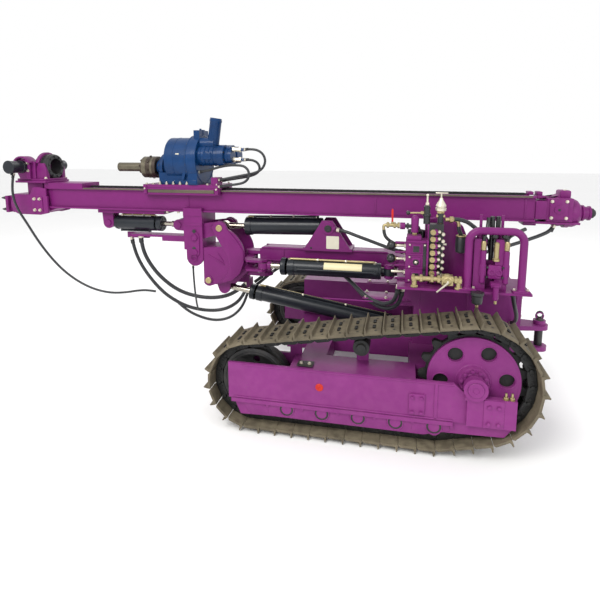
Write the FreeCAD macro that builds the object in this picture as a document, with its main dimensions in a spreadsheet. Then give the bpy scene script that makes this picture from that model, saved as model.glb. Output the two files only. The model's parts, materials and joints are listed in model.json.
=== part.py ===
"""Crawler drilling rig with a long mast, a rotary head on a carriage, and two fixed track loops.

Frame: +X forward, towards the mast's foot, +Y to the rig's left, +Z up. The origin is on the ground,
under the middle of the rig's box. All lengths are in millimetres.
"""
import FreeCAD, Part
import math
import os
import re

import Sketcher

DOC = FreeCAD.newDocument("DrillingRig")
V = FreeCAD.Vector

# Driving dimensions. A name that ends in _x, _y or _z is a place in the rig's frame.
SIZES = {
    # tracks
    "track_gauge": 1500,
    "shoe_width": 300,
    "shoe_pitch": 115,
    "shoe_thick": 16,
    "grouser_high": 32,
    "grouser_thick": 12,
    "rail_high": 60,
    "rail_thick": 25,
    "rail_inner": 35,
    "drive_x": -1590,
    "drive_z": 475,
    "drive_rail_radius": 307,
    "idler_x": -180,
    "idler_rail_radius": 227,
    "carrier_x": -898,
    "carrier_z": 632,
    "carrier_radius": 52,
    "roller_radius": 60,
    "roller_first_x": -420,
    "roller_step": 235,
    "roller_half_width": 70,
    "wheel_gap": 1,
    # track frames
    "side_plate": 20,
    "side_out": 135,
    "side_in": 105,
    "side_top_z": 487,
    "side_low_z": 238,
    "frame_front_x": -20,
    "frame_rear_x": -1470,
    "bearing_front_x": -1545,
    "bearing_rear_x": -1826,
    "bearing_top_z": 420,
    "guard_low_z": 118,
    "guard_rear_low_z": 165,
    "guard_front_x": -98,
    "guard_recess": 14,
    "top_plate_front_x": -440,
    "top_plate_rear_x": -1242,
    "cap_radius": 40,
    "ledge_high": 26,
    "ledge_out": 7,
    # drive wheel
    "disc_radius": 275,
    "disc_thick": 26,
    "tooth_radius": 334,
    "tooth_root": 290,
    "tooth_thick": 44,
    "tooth_count": 17,
    "lightening_radius": 46,
    "lightening_circle": 196,
    "lightening_count": 6,
    "hub_radius": 92,
    "shaft_radius": 48,
    "bearing_thick": 42,
    "motor_radius": 120,
    "motor_length": 190,
    "eye_x": -436,
    "eye_z": 575,
    "eye_radius": 40,
    "eye_bore": 20,
    # main frame
    "sill_in": 95,
    "sill_out": 260,
    "sill_low_z": 350,
    "sill_top_z": 500,
    "frame_nose_x": -330,
    "nose_high": 34,
    "rear_block_x": -1230,
    "frame_tail_x": -1960,
    "rear_block_out": 300,
    "rear_block_top_z": 912,
    "side_box_in": 110,
    "side_box_out": 330,
    "side_box_top_z": 800,
    "cross_front_x": -560,
    "cross_rear_x": -1290,
    "cross_wide": 170,
    "cross_low_z": 330,
    "cross_top_z": 480,
    "tower_out": 106,
    "tower_plate": 24,
    "frame_plate": 14,
    # boom
    "boom_pivot_x": -1180,
    "boom_pivot_z": 1010,
    "boom_half": 64,
    "boom_low_z": 992,
    "boom_top_z": 1108,
    "boom_front_x": 6,
    "pivot_boss": 62,
    "pin_radius": 26,
    "pin_gap": 0.3,
    "pin_head": 12,
    "move_gap": 6,
    # boom head
    "swing_x": 90,
    "knuckle_low_z": 885,
    "knuckle_top_z": 1038,
    "knuckle_radius": 46,
    "fork_plate": 28,
    "head_half": 78,
    "head_plate": 22,
    "tilt_x": 432,
    "tilt_z": 815,
    "tilt_boss": 50,
    # sector plates and mast bracket
    "sector_in": 112,
    "sector_plate": 20,
    "sector_x": 357,
    "sector_z": 1030,
    "sector_radius": 240,
    "tilt_eye_x": 328,
    "tilt_eye_z": 1258,
    "sector_top_boss": 58,
    "upper_link_in": 89,
    "bracket_rear_x": 475,
    "bracket_front_x": 640,
    "bracket_low_z": 1005,
    "strap_step_z": 1068,
    "strap_low_z": 1052,
    "strap_top_z": 1180,
    "hose_block_x": 190,
    "ledge_z": 1166,
    "ledge_front_x": 1185,
    "bracket_half": 118,
    "bracket_plate": 22,
    "saddle_gap": 0.4,
    # mast
    "mast_rear_x": -2055,
    "mast_front_x": 1968,
    "mast_low_z": 1382,
    "mast_top_z": 1566,
    "mast_half": 95,
    "mast_wall": 10,
    "flange_half": 118,
    "flange_thick": 14,
    "rail_wide": 34,
    "foot_tip_x": 2482,
    "motor_tip_x": -2482,
    # rotary head
    "carriage_rear_x": 315,
    "carriage_front_x": 985,
    "carriage_half": 150,
    "carriage_thick": 26,
    "spindle_z": 1745,
    "spindle_rear_x": 700,
    "gearbox_rear_x": 535,
    "gearbox_front_x": 775,
    "gearbox_rise": 67,
    "gearbox_radius": 178,
    "nose_front_x": 860,
    "head_motor_rise": 97,
    "head_motor_radius": 80,
    "head_motor_rear_x": 215,
    "motor_y": 82,
    "hose_fitting_x": 120,
    "hose_fitting_y": 82,
    "spindle_radius": 38,
    "spindle_tip_x": 1289,
    "collar_radius": 90,
    "clamp_x": 1985,
    "clamp_radius": 108,
    "clamp_thick": 110,
    "clamp_bore": 70,
    # cylinders: their pins, bores and rods
    "lift_base_x": -1150,
    "lift_base_z": 490,
    "lift_eye_x": 320,
    "lift_eye_z": 738,
    "lift_radius": 60,
    "lift_rod": 24,
    "lift_barrel": 1215,
    "tilt_base_x": -565,
    "tilt_base_z": 1280,
    "tilt_radius": 70,
    "tilt_rod": 23,
    "tilt_barrel": 697,
    "swing_base_x": -1046,
    "swing_eye_x": -62,
    "swing_y": 190,
    "swing_z": 982,
    "swing_radius": 62,
    "swing_rod": 22,
    "swing_barrel": 775,
    "extend_base_x": 1400,
    "extend_eye_x": 735,
    "extend_z": 1258,
    "extend_radius": 60,
    "extend_rod": 20,
    "extend_barrel": 440,
    "eye_outer": 42,
    "eye_half": 24,
    "cylinder_wall": 12,
    "rod_gap": 0.3,
    "yoke_drop": 56,
    # pipes
    "pipe_front_x": -260,
    "pipe_rear_x": -560,
    # controls
    "shelf_z": 985,
    "shelf_out": 640,
    "shelf_thick": 15,
    "pillar_front_x": -1290,
    "pillar_rear_x": -1650,
    "pillar_in": 275,
    "pillar_out": 365,
    "pillar_top_z": 1430,
    "rail_front_x": -1550,
    "rail_rear_x": -1875,
    "rail_y": 605,
    "rail_top_z": 1385,
    "rail_tube": 24,
    "hitch_x": -2165,
    "hitch_top_z": 575,
    "hitch_low_z": 410,
    "hitch_plate": 34,
    "hitch_pin": 28,
}

SHEET = DOC.addObject("Spreadsheet::Sheet", "Sizes")
for row, (alias, number) in enumerate(SIZES.items(), start=1):
    SHEET.set(f"A{row}", alias)
    SHEET.set(f"B{row}", str(number))
    SHEET.setAlias(f"B{row}", alias)
DOC.recompute()


def size(name):
    """Read one driving dimension from the sheet."""
    return float(SHEET.get(name))


def formula(text):
    """Turn the sheet's plain names in a formula into the sheet's cells."""
    return re.sub(r"[a-z][a-z0-9_]*", lambda m: f"Sizes.{m[0]}" if m[0] in SIZES else m[0], str(text))


def number(text):
    """Work a formula out with the sheet's values."""
    value = DOC.addObject("App::FeaturePython", "Value")
    value.addProperty("App::PropertyFloat", "Result")
    value.setExpression("Result", formula(text))
    value.recompute()
    result = value.Result
    DOC.removeObject(value.Name)
    return result


AXES = {
    "x": FreeCAD.Rotation(V(0, 1, 0), 90),
    "y": FreeCAD.Rotation(V(1, 0, 0), -90),
    "z": FreeCAD.Rotation(),
}


def place(thing, x, y, z):
    """Bind an object's place to the sheet."""
    for axis, text in (("x", x), ("y", y), ("z", z)):
        thing.setExpression(f"Placement.Base.{axis}", formula(text))
    return thing


def box(x, y, z):
    """A block between two limits on each axis, given as formulas."""
    block = DOC.addObject("Part::Box", "Block")
    for prop, (low, high) in (("Length", x), ("Width", y), ("Height", z)):
        block.setExpression(prop, formula(f"({high}) - ({low})"))
    return place(block, x[0], y[0], z[0])


def rod(axis, start, end, across, radius, inner=None):
    """A round bar or tube along one axis, from start to end, with its centre at the two places across."""
    bar = DOC.addObject("Part::Cylinder", "Round")
    bar.Placement = FreeCAD.Placement(V(), AXES[axis])
    bar.setExpression("Radius", formula(radius))
    bar.setExpression("Height", formula(f"({end}) - ({start})"))
    spots = {"x": (start, *across), "y": (across[0], start, across[1]), "z": (*across, start)}[axis]
    place(bar, *spots)
    if inner is None:
        return bar
    return cut(bar, rod(axis, start, end, across, inner))


def fuse(*things, refine=True):
    """Join solids into one, with faces in one plane merged unless that isn't wanted."""
    if len(things) == 1:
        return things[0]
    joined = DOC.addObject("Part::MultiFuse", "Joined")
    joined.Shapes = list(things)
    joined.Refine = refine
    return joined


def cut(base, *tools):
    """Take the tools out of the base."""
    result = DOC.addObject("Part::Cut", "Cut")
    result.Base = base
    result.Tool = fuse(*tools)
    result.Refine = True
    return result


def drawn(sketch_plane, corners, low, high):
    """A plate with a straight-sided outline, padded between two limits across its plane."""
    body = DOC.addObject("PartDesign::Body", "Plate")
    roles = {"XZ": "XZ_Plane", "XY": "XY_Plane", "YZ": "YZ_Plane"}
    plane = next(f for f in body.Origin.OriginFeatures if f.Role == roles[sketch_plane])
    sketch = body.newObject("Sketcher::SketchObject", "Outline")
    sketch.AttachmentSupport = [(plane, "")]
    sketch.MapMode = "FlatFace"
    places = [(number(a), number(b)) for a, b in corners]
    for i, start in enumerate(places):
        end = places[(i + 1) % len(places)]
        sketch.addGeometry(Part.LineSegment(V(*start, 0), V(*end, 0)))
    for i in range(len(places)):
        sketch.addConstraint(Sketcher.Constraint("Coincident", i, 2, (i + 1) % len(places), 1))
    for i, (start, corner) in enumerate(zip(places, corners)):
        for kind, value, text in zip(("DistanceX", "DistanceY"), start, corner):
            index = sketch.addConstraint(Sketcher.Constraint(kind, -1, 1, i, 1, value))
            sketch.setExpression(f"Constraints[{index}]", formula(text))
    pad = body.newObject("PartDesign::Pad", "Pad")
    pad.Profile = sketch
    pad.Reversed = sketch_plane == "XZ"
    pad.setExpression("Length", formula(f"({high}) - ({low})"))
    axis = {"XZ": "y", "XY": "z", "YZ": "x"}[sketch_plane]
    body.setExpression(f"Placement.Base.{axis}", formula(low))
    return body


def tangent_outline(first, first_radius, second, second_radius):
    """The closed outline round two circles and the two lines that touch both."""
    span = math.hypot(second[0] - first[0], second[1] - first[1])
    heading = math.atan2(second[1] - first[1], second[0] - first[0])
    lean = math.acos((first_radius - second_radius) / span)

    def on(centre, radius, angle):
        return V(centre[0] + radius * math.cos(angle), centre[1] + radius * math.sin(angle), 0)

    upper, lower = heading + lean, heading - lean
    far = [on(second, second_radius, a) for a in (lower, heading, upper)]
    near = [on(first, first_radius, a) for a in (upper, heading + math.pi, lower)]
    edges = [Part.Arc(*far).toShape(), Part.LineSegment(far[2], near[0]).toShape()]
    edges += [Part.Arc(*near).toShape(), Part.LineSegment(near[2], far[0]).toShape()]
    return Part.Wire(edges)


def link(first, first_radius, second, second_radius, low, high, plane="XZ"):
    """A flat link with a round end about each of two points, between two limits across its plane."""
    a = [number(t) for t in first]
    b = [number(t) for t in second]
    wire = tangent_outline(a, number(first_radius), b, number(second_radius))
    start, end = number(low), number(high)
    solid = Part.Face(wire).extrude(V(0, 0, end - start))
    piece = DOC.addObject("Part::Feature", "Link")
    if plane == "XZ":
        turn = FreeCAD.Rotation(V(1, 0, 0), 90)
        piece.Shape = solid
        piece.Placement = FreeCAD.Placement(V(0, end, 0), turn)
    else:
        piece.Shape = solid
        piece.Placement = FreeCAD.Placement(V(0, 0, start), FreeCAD.Rotation())
    return piece


def made(shape):
    """An object that holds a shape worked out in code."""
    piece = DOC.addObject("Part::Feature", "Shape")
    piece.Shape = shape
    return piece


def moved(thing, offset, angle=0.0, axis=V(0, 1, 0), centre=V(0, 0, 0)):
    """A copy of a piece, turned about a centre and then shifted."""
    DOC.recompute()
    shape = thing.Shape.copy()
    shape.rotate(centre, axis, angle)
    shape.translate(offset)
    return made(shape)


NODES = {}


def node(label, *things):
    """Name the finished sub-part."""
    piece = fuse(*things)
    piece.Label = label
    NODES[label] = piece
    return piece


def mirrored(label, source):
    """The same sub-part on the rig's other side."""
    other = DOC.addObject("Part::Mirroring", "Mirror")
    other.Source = source
    other.Normal = V(0, 1, 0)
    return node(label, other)


SIDES = (("left", 1), ("right", -1))
TRACK_Y = "track_gauge / 2"


# Tracks

def hull_path(circles):
    """Straight runs and arcs round circles that are listed in turn, as (centre, radius)."""
    pieces = []
    joints = []
    for (a, ra), (b, rb) in zip(circles, circles[1:] + circles[:1]):
        span = (b - a).Length
        heading = math.atan2(b.y - a.y, b.x - a.x)
        side = heading - math.acos((ra - rb) / span)
        out = V(math.cos(side), math.sin(side), 0)
        joints.append((a + out * ra, b + out * rb, side))
    for i, (circle, radius) in enumerate(circles):
        before, after = joints[i - 1], joints[i]
        sweep = (after[2] - before[2]) % (2 * math.pi)
        pieces.append(("arc", circle, radius, before[2], sweep))
        pieces.append(("line", after[0], after[1]))
    return pieces


def along(pieces, distance):
    """The point and the outward direction at a distance along the path."""
    for piece in pieces:
        if piece[0] == "arc":
            _, centre, radius, start, sweep = piece
            length = radius * sweep
            if distance <= length:
                angle = start + distance / radius
                out = V(math.cos(angle), math.sin(angle), 0)
                return centre + out * radius, out
        else:
            _, start, end = piece
            length = (end - start).Length
            if distance <= length:
                run = (end - start).normalize()
                return start + run * distance, V(run.y, -run.x, 0)
        distance -= length
    return along(pieces, 1e-6)


def path_length(pieces):
    """The length of the whole path."""
    return sum(p[2] * p[4] if p[0] == "arc" else (p[2] - p[1]).Length for p in pieces)


def track_circles(offset):
    """The circles that the track runs round, at a distance outside the rails' running face."""
    ground = size("grouser_high") + size("shoe_thick") + size("rail_high")
    idler = V(size("idler_x"), ground + size("idler_rail_radius"), 0)
    last_x = size("roller_first_x") - 4 * size("roller_step")
    roller = V(last_x, ground + size("roller_radius"), 0)
    carrier = V(size("carrier_x"), size("carrier_z"), 0)
    drive = V(size("drive_x"), size("drive_z"), 0)
    rows = (
        (idler, "idler_rail_radius"),
        (carrier, "carrier_radius"),
        (drive, "drive_rail_radius"),
        (roller, "roller_radius"),
    )
    return [(centre, size(radius) + offset) for centre, radius in rows]


def wire_solid(points, low, high):
    """A solid between two places across the rig, with a closed outline of (x, z) points."""
    corners = [V(p.x, low, p.y) for p in points]
    face = Part.Face(Part.makePolygon(corners + corners[:1]))
    return face.extrude(V(0, high - low, 0))


def track_loop():
    """The left track: shoes with one bar each, on two chain rails, as one fixed loop."""
    base = track_circles(size("rail_high"))
    path = hull_path(base)
    total = path_length(path)
    count = round(total / size("shoe_pitch"))
    step = total / count
    thick, bar, high = size("shoe_thick"), size("grouser_thick"), size("grouser_high")
    outer, inner = [], []
    for i in range(count):
        here, out = along(path, i * step)
        run = V(-out.y, out.x, 0)
        face = here + out * thick
        outer += [face, face + out * high, face + out * high + run * bar * 0.6, face + run * bar]
        inner.append(here)
    centre = size("track_gauge") / 2
    half = size("shoe_width") / 2
    shoes = wire_solid(outer, centre - half, centre + half)
    shoes = shoes.cut(wire_solid(inner, centre - half - 1, centre + half + 1))
    low_path = hull_path(track_circles(0.0))
    low_total = path_length(low_path)
    low_points = [along(low_path, i * low_total / count)[0] for i in range(count)]
    rails = []
    for side in (-1, 1):
        near = centre + side * size("rail_inner")
        far = near + side * size("rail_thick")
        band = wire_solid(inner, min(near, far), max(near, far))
        rails.append(band.cut(wire_solid(low_points, min(near, far) - 1, max(near, far) + 1)))
    seats = [Part.makeCylinder(radius, size("shoe_width"), V(spot.x, centre - half, spot.y), V(0, 1, 0))
             for spot, radius in track_circles(0.0)]
    rails = [band.cut(seats) for band in rails]
    return made(shoes.fuse(rails))


def idler_wheel():
    """The front wheel that guides the chain, with its axle and round holes."""
    ground = "grouser_high + shoe_thick + rail_high"
    spot = ("idler_x", f"{ground} + idler_rail_radius")
    half = "(rail_inner + rail_thick)"
    rim = rod("y", f"{TRACK_Y} - {half}", f"{TRACK_Y} + {half}", spot, "idler_rail_radius - wheel_gap")
    flange = rod("y", f"{TRACK_Y} - rail_inner + 6", f"{TRACK_Y} + rail_inner - 6", spot,
                 "idler_rail_radius + 14")
    dish = [rod("y", *span, spot, "idler_rail_radius - 42") for span in (
        (f"{TRACK_Y} + 14", f"{TRACK_Y} + {half} + 1"), (f"{TRACK_Y} - {half} - 1", f"{TRACK_Y} - 14"))]
    hub = rod("y", f"{TRACK_Y} - side_in + side_plate + pin_gap", f"{TRACK_Y} + side_out - side_plate - guard_recess - 1",
              spot, 58)
    holes = []
    for i in range(5):
        angle = math.radians(90 + 72 * i)
        across = (f"idler_x + {128 * math.cos(angle):.3f}", f"{spot[1]} + {128 * math.sin(angle):.3f}")
        holes.append(rod("y", f"{TRACK_Y} - 20", f"{TRACK_Y} + 20", across, 26))
    wheel = cut(fuse(rim, flange), *dish)
    return cut(fuse(wheel, hub), *holes)


def drive_wheel():
    """The toothed drive wheel with its disc, six round holes, hub and stub shaft."""
    spot = ("drive_x", "drive_z")
    teeth = []
    count = int(size("tooth_count"))
    for i in range(count):
        for share, radius in ((-0.32, "tooth_root"), (-0.14, "tooth_radius"), (0.14, "tooth_radius"),
                              (0.32, "tooth_root")):
            angle = 2 * math.pi * (i + share) / count
            teeth.append(V(size("drive_x") + size(radius) * math.cos(angle),
                           size("drive_z") + size(radius) * math.sin(angle), 0))
    middle = size("track_gauge") / 2
    ring = made(wire_solid(teeth, middle - size("tooth_thick") / 2, middle + size("tooth_thick") / 2))
    disc = rod("y", f"{TRACK_Y} + tooth_thick / 2 - 1", f"{TRACK_Y} + tooth_thick / 2 + disc_thick", spot,
               "disc_radius")
    hub = rod("y", f"{TRACK_Y} - 60", f"{TRACK_Y} + tooth_thick / 2 + disc_thick + 30", spot, "hub_radius")
    shaft = rod("y", f"{TRACK_Y} - 60", f"{TRACK_Y} + side_out + bearing_thick", spot, "shaft_radius")
    holes = []
    for i in range(int(size("lightening_count"))):
        angle = math.radians(30 + 360 / size("lightening_count") * i)
        across = (f"drive_x + lightening_circle * {math.cos(angle):.5f}",
                  f"drive_z + lightening_circle * {math.sin(angle):.5f}")
        holes.append(rod("y", f"{TRACK_Y} - tooth_thick", f"{TRACK_Y} + tooth_thick + disc_thick", across,
                         "lightening_radius"))
    return fuse(cut(fuse(ring, disc), *holes), hub, shaft)


def track_frame():
    """The left track's beam: two side plates, top plate, roller guards, rollers, eye and carrier bracket."""
    outer = (f"{TRACK_Y} + side_out - side_plate", f"{TRACK_Y} + side_out")
    inner = (f"{TRACK_Y} - side_in", f"{TRACK_Y} - side_in + side_plate")
    profile = [
        ("frame_front_x", "side_low_z"),
        ("frame_front_x", "side_top_z"),
        ("frame_rear_x", "side_top_z"),
        ("bearing_front_x", "bearing_top_z"),
        ("bearing_rear_x", "bearing_top_z"),
        ("bearing_rear_x", "side_low_z"),
    ]
    guard = [
        ("frame_front_x - 25", "side_low_z"),
        ("bearing_rear_x", "side_low_z"),
        ("bearing_rear_x + 55", "guard_rear_low_z"),
        ("guard_front_x", "guard_low_z"),
    ]
    ground = "grouser_high + shoe_thick + rail_high"
    plates = []
    inner_profile = [
        ("frame_front_x", "side_low_z"),
        ("frame_front_x", "side_top_z"),
        ("top_plate_rear_x - 130", "side_top_z"),
        ("top_plate_rear_x - 130", "side_low_z"),
    ]
    plates.append(drawn("XZ", inner_profile, *inner))
    plates.append(drawn("XZ", guard, f"{outer[0]} - guard_recess", f"{outer[1]} - guard_recess"))
    plates.append(box(("top_plate_rear_x", "top_plate_front_x"), (inner[0], outer[1]),
                      ("side_top_z - side_plate", "side_top_z")))
    plates.append(box(("frame_rear_x", "frame_front_x - 20"), (outer[0], f"{outer[1]} + ledge_out"),
                      ("side_low_z - ledge_high", "side_low_z")))
    for x in ("top_plate_rear_x", "top_plate_front_x - 60"):
        plates.append(box((x, f"{x} + side_plate"), (inner[0], outer[1]), ("side_low_z", "side_top_z")))
    rollers = []
    for i in range(5):
        spot = (f"roller_first_x - {i} * roller_step", f"{ground} + roller_radius + wheel_gap")
        rollers.append(rod("y", f"{TRACK_Y} - roller_half_width", f"{TRACK_Y} + roller_half_width", spot,
                           "roller_radius - 16"))
        for low, high in ((f"{TRACK_Y} - roller_half_width", f"{TRACK_Y} - rail_inner + 2"),
                          (f"{TRACK_Y} + rail_inner - 2", f"{TRACK_Y} + roller_half_width")):
            rollers.append(rod("y", low, high, spot, "roller_radius"))
        rollers.append(rod("y", f"{TRACK_Y} - side_in", f"{TRACK_Y} + side_out - guard_recess + 6", spot,
                           "cap_radius"))
    rollers.append(box(("roller_first_x - 4 * roller_step", "roller_first_x"),
                       (f"{TRACK_Y} - side_in", f"{TRACK_Y} - side_in + side_plate"),
                       (f"{ground} + roller_radius - 30", "side_low_z")))
    eye = link(("eye_x", "eye_z"), "eye_radius", ("eye_x", "side_top_z - 30"), "eye_radius",
               f"{TRACK_Y} - side_in", f"{TRACK_Y} - side_in + 22")
    eye = cut(eye, rod("y", f"{TRACK_Y} - side_in - 1", f"{TRACK_Y}", ("eye_x", "eye_z"), "eye_bore"))
    post = box(("carrier_x - 40", "carrier_x + 40"), (f"{TRACK_Y} - 96", f"{TRACK_Y} - 76"),
               ("side_top_z - side_plate", "carrier_z"))
    shaft = rod("y", f"{TRACK_Y} - 96", f"{TRACK_Y} + 74", ("carrier_x", "carrier_z"), 20)
    wheel = rod("y", f"{TRACK_Y} - 66", f"{TRACK_Y} + 66", ("carrier_x", "carrier_z"),
                "carrier_radius - wheel_gap")
    bearing = box(("bearing_rear_x", "bearing_front_x"), (outer[1], f"{outer[1]} + bearing_thick - 20"),
                  ("side_low_z", "bearing_top_z"))
    lug = rod("y", f"{outer[1]} - 5", f"{outer[1]} + bearing_thick - 6", ("drive_x", "drive_z"),
              "shaft_radius + 22")
    web = box(("drive_x - 58", "drive_x + 58"), (outer[0], f"{outer[1]} + bearing_thick - 20"),
              ("bearing_top_z - 20", "drive_z + 4"))
    clear = rod("y", f"{outer[0]} - 40", f"{outer[1]} + 100", ("drive_x", "drive_z"), "shaft_radius + pin_gap")
    end = cut(fuse(bearing, lug, web, drawn("XZ", profile, *outer)), clear)
    return fuse(end, *plates, *rollers, eye, post, shaft, wheel, refine=False)


def travel_motor():
    """The drive's gearbox and motor, inside the track's loop, on the main frame's side."""
    spot = ("drive_x", "drive_z")
    case = rod("y", f"{TRACK_Y} - side_in - motor_length", f"{TRACK_Y} - 61", spot, "motor_radius")
    motor = rod("y", "rear_block_out", f"{TRACK_Y} - side_in - motor_length", spot, "motor_radius - 30")
    return fuse(case, motor)


left_track = node("track_left", track_loop())
mirrored("track_right", left_track)
left_idler = node("idler_left", idler_wheel())
mirrored("idler_right", left_idler)
left_drive = node("drive_wheel_left", drive_wheel())
mirrored("drive_wheel_right", left_drive)
left_frame = node("track_frame_left", track_frame())
mirrored("track_frame_right", left_frame)
left_motor = node("travel_motor_left", travel_motor())
mirrored("travel_motor_right", left_motor)


# Main frame

def main_frame():
    """Two sills, cross beams, a rear block and a side box, with the towers that carry the boom."""
    pieces = []
    for _, side in SIDES:
        low, high = ("sill_in", "sill_out") if side > 0 else ("-sill_out", "-sill_in")
        pieces.append(box(("rear_block_x", "frame_nose_x"), (low, high), ("sill_low_z", "sill_top_z")))
    pieces.append(box(("frame_nose_x", "frame_nose_x + 60"), ("-sill_out", "sill_out"),
                      ("sill_low_z", "sill_low_z + nose_high")))
    pieces.append(box(("frame_nose_x - 700", "frame_nose_x"), ("-sill_out", "sill_out"),
                      ("sill_low_z", "sill_low_z + frame_plate")))
    pieces.append(box(("frame_tail_x", "rear_block_x"), ("-rear_block_out", "rear_block_out"),
                      ("sill_low_z", "rear_block_top_z")))
    pieces.append(box(("rear_block_x", "frame_nose_x"), ("-side_box_out", "-side_box_in"),
                      ("sill_top_z", "side_box_top_z")))
    reach = f"{TRACK_Y} - side_in"
    for x in ("cross_front_x", "cross_rear_x"):
        for low, high in (("sill_in", reach), (f"-({reach})", "-sill_in")):
            pieces.append(box((f"{x} - cross_wide / 2", f"{x} + cross_wide / 2"), (low, high),
                              ("cross_low_z", "cross_top_z")))
    tower = [
        ("boom_pivot_x + 75", "rear_block_top_z - 60"),
        ("boom_pivot_x + 60", "boom_pivot_z + 40"),
        ("boom_pivot_x - 60", "boom_pivot_z + 60"),
        ("boom_pivot_x - 190", "rear_block_top_z - 60"),
    ]
    block = box(("rear_block_x", "boom_pivot_x + 75"), ("-rear_block_out", "rear_block_out"),
                ("rear_block_top_z - 150", "rear_block_top_z"))
    pieces.append(block)
    for low, high in (("tower_out - tower_plate", "tower_out"), ("-tower_out", "tower_plate - tower_out")):
        pieces.append(drawn("XZ", tower, low, high))
        pieces.append(rod("y", low, high, ("boom_pivot_x", "boom_pivot_z"), "pivot_boss + 4"))
    pin = rod("y", "-tower_out - pin_head", "tower_out + pin_head", ("boom_pivot_x", "boom_pivot_z"), "pin_radius")
    seat = box(("rear_block_x - 5", "lift_base_x + 46"), ("-sill_in - 2", "sill_in + 2"),
               ("sill_low_z", "lift_base_z - yoke_drop - pin_gap"))
    return fuse(*pieces, pin, seat)


def tow_hitch():
    """The two towing plates on the rear, with their pin and its pull ring."""
    plate = box(("frame_tail_x - 22", "frame_tail_x"), (-170, 170), ("hitch_low_z - 40", "hitch_top_z + 120"))
    pieces = []
    for z in ("hitch_low_z", "hitch_top_z"):
        pieces.append(link(("hitch_x", 0), 60, ("frame_tail_x", 0), 95, f"{z} - hitch_plate / 2",
                           f"{z} + hitch_plate / 2", "XY"))
    pieces.append(rod("z", "hitch_low_z - 30", "hitch_top_z + 30", ("hitch_x", 0), "hitch_pin"))
    pieces.append(rod("z", "hitch_top_z + 17", "hitch_top_z + 48", ("hitch_x", 0), "hitch_pin + 16"))
    ring = DOC.addObject("Part::Torus", "Ring")
    ring.Placement = FreeCAD.Placement(V(), AXES["y"])
    ring.Radius1 = 26
    ring.Radius2 = 6
    pieces.append(place(ring, "hitch_x", 0, "hitch_top_z + 78"))
    trim = box(("frame_tail_x", "frame_tail_x + 200"), (-300, 300), ("hitch_low_z - 100", "hitch_top_z + 200"))
    return cut(fuse(plate, *pieces), trim)


node("main_frame", main_frame())
node("tow_hitch", tow_hitch())


# Cylinders

def cylinder_parts(base, tip, y, radius, bar, barrel, offset=0.0):
    """A hydraulic cylinder's barrel and rod along the line between its two pins, as two solids.

    The barrel runs from its base eye for the barrel's length, with a bore that the rod slides in.
    """
    span = V(tip[0] - base[0], 0, tip[1] - base[1])
    length = span.Length
    eye, half, wall = size("eye_outer"), size("eye_half"), size("cylinder_wall")
    pin, gap = size("pin_radius"), size("rod_gap")
    along_x = V(1, 0, 0)
    start = eye + 18
    neck = Part.makeCylinder(half, start - pin - 6, V(pin + 8, 0, 0), along_x)
    tube = Part.makeCylinder(radius, barrel - start, V(start, 0, 0), along_x)
    lip = Part.makeCylinder(radius + 6, 46, V(barrel - 46, 0, 0), along_x)
    boss = Part.makeCylinder(eye, 2 * half, V(0, -half, 0), V(0, 1, 0))
    bore = Part.makeCylinder(bar + gap, barrel - start - 30, V(start + 30, 0, 0), along_x)
    chamber = Part.makeCylinder(radius - wall, barrel - start - 96, V(start + 30, 0, 0), along_x)
    pipe = Part.makeCylinder(9, barrel - start - 90, V(start + 30, 0, radius + 10), along_x)
    ports = [Part.makeCylinder(13, 24, V(x, 0, radius - 6), V(0, 0, 1)) for x in (start + 40, barrel - 70)]
    hole = Part.makeCylinder(pin + gap, 2 * half + 2, V(0, -half - 1, 0), V(0, 1, 0))
    body = tube.fuse([neck, boss, lip, pipe, *ports]).cut(bore.fuse([chamber])).cut(hole)
    tail = start + 60 + offset
    shank = Part.makeCylinder(bar, length - eye + 6 - tail, V(tail, 0, 0), along_x)
    piston = Part.makeCylinder(radius - wall - gap, 40, V(tail, 0, 0), along_x)
    end = Part.makeCylinder(eye, 2 * half, V(length, -half, 0), V(0, 1, 0))
    collar = Part.makeCylinder(half + 2, 30, V(length - eye - 34, 0, 0), along_x)
    rod_solid = shank.fuse([piston, end, collar])
    rod_solid = rod_solid.cut(Part.makeCylinder(pin + gap, 2 * half + 2, V(length, -half - 1, 0), V(0, 1, 0)))
    angle = -math.degrees(math.atan2(span.z, span.x))
    for solid in (body, rod_solid):
        solid.rotate(V(), V(0, 1, 0), angle)
        solid.translate(V(base[0], y, base[1]))
    return made(body), made(rod_solid)


def points(*names):
    """Read several places from the sheet."""
    return [size(n) for n in names]


lift_base = points("lift_base_x", "lift_base_z")
lift_eye = points("lift_eye_x", "lift_eye_z")
barrel, shank = cylinder_parts(lift_base, lift_eye, 0, size("lift_radius"), size("lift_rod"), size("lift_barrel"), 560)
node("lift_barrel", barrel)
node("lift_rod", shank)


def yoke(x, z, low_z):
    """The fork that a cylinder's base pin sits in, on a short upright stub that lets it turn."""
    cheeks = []
    for low, high in (("eye_half + 2", "eye_half + 16"), ("-eye_half - 16", "-eye_half - 2")):
        cheeks.append(link((x, z), 34, (x, f"{low_z} + 40"), 34, low, high))
    foot = rod("z", low_z, f"{low_z} + 14", (x, 0), "eye_half + 16")
    pin = rod("y", "-eye_half - 20", "eye_half + 20", (x, z), "pin_radius")
    return cut(fuse(*cheeks, foot, pin), box((f"{x} - 60", f"{x} + 60"), (-60, 60), (f"{low_z} - 60", low_z)))


node("lift_yoke", yoke("lift_base_x", "lift_base_z", "lift_base_z - yoke_drop"))

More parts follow.
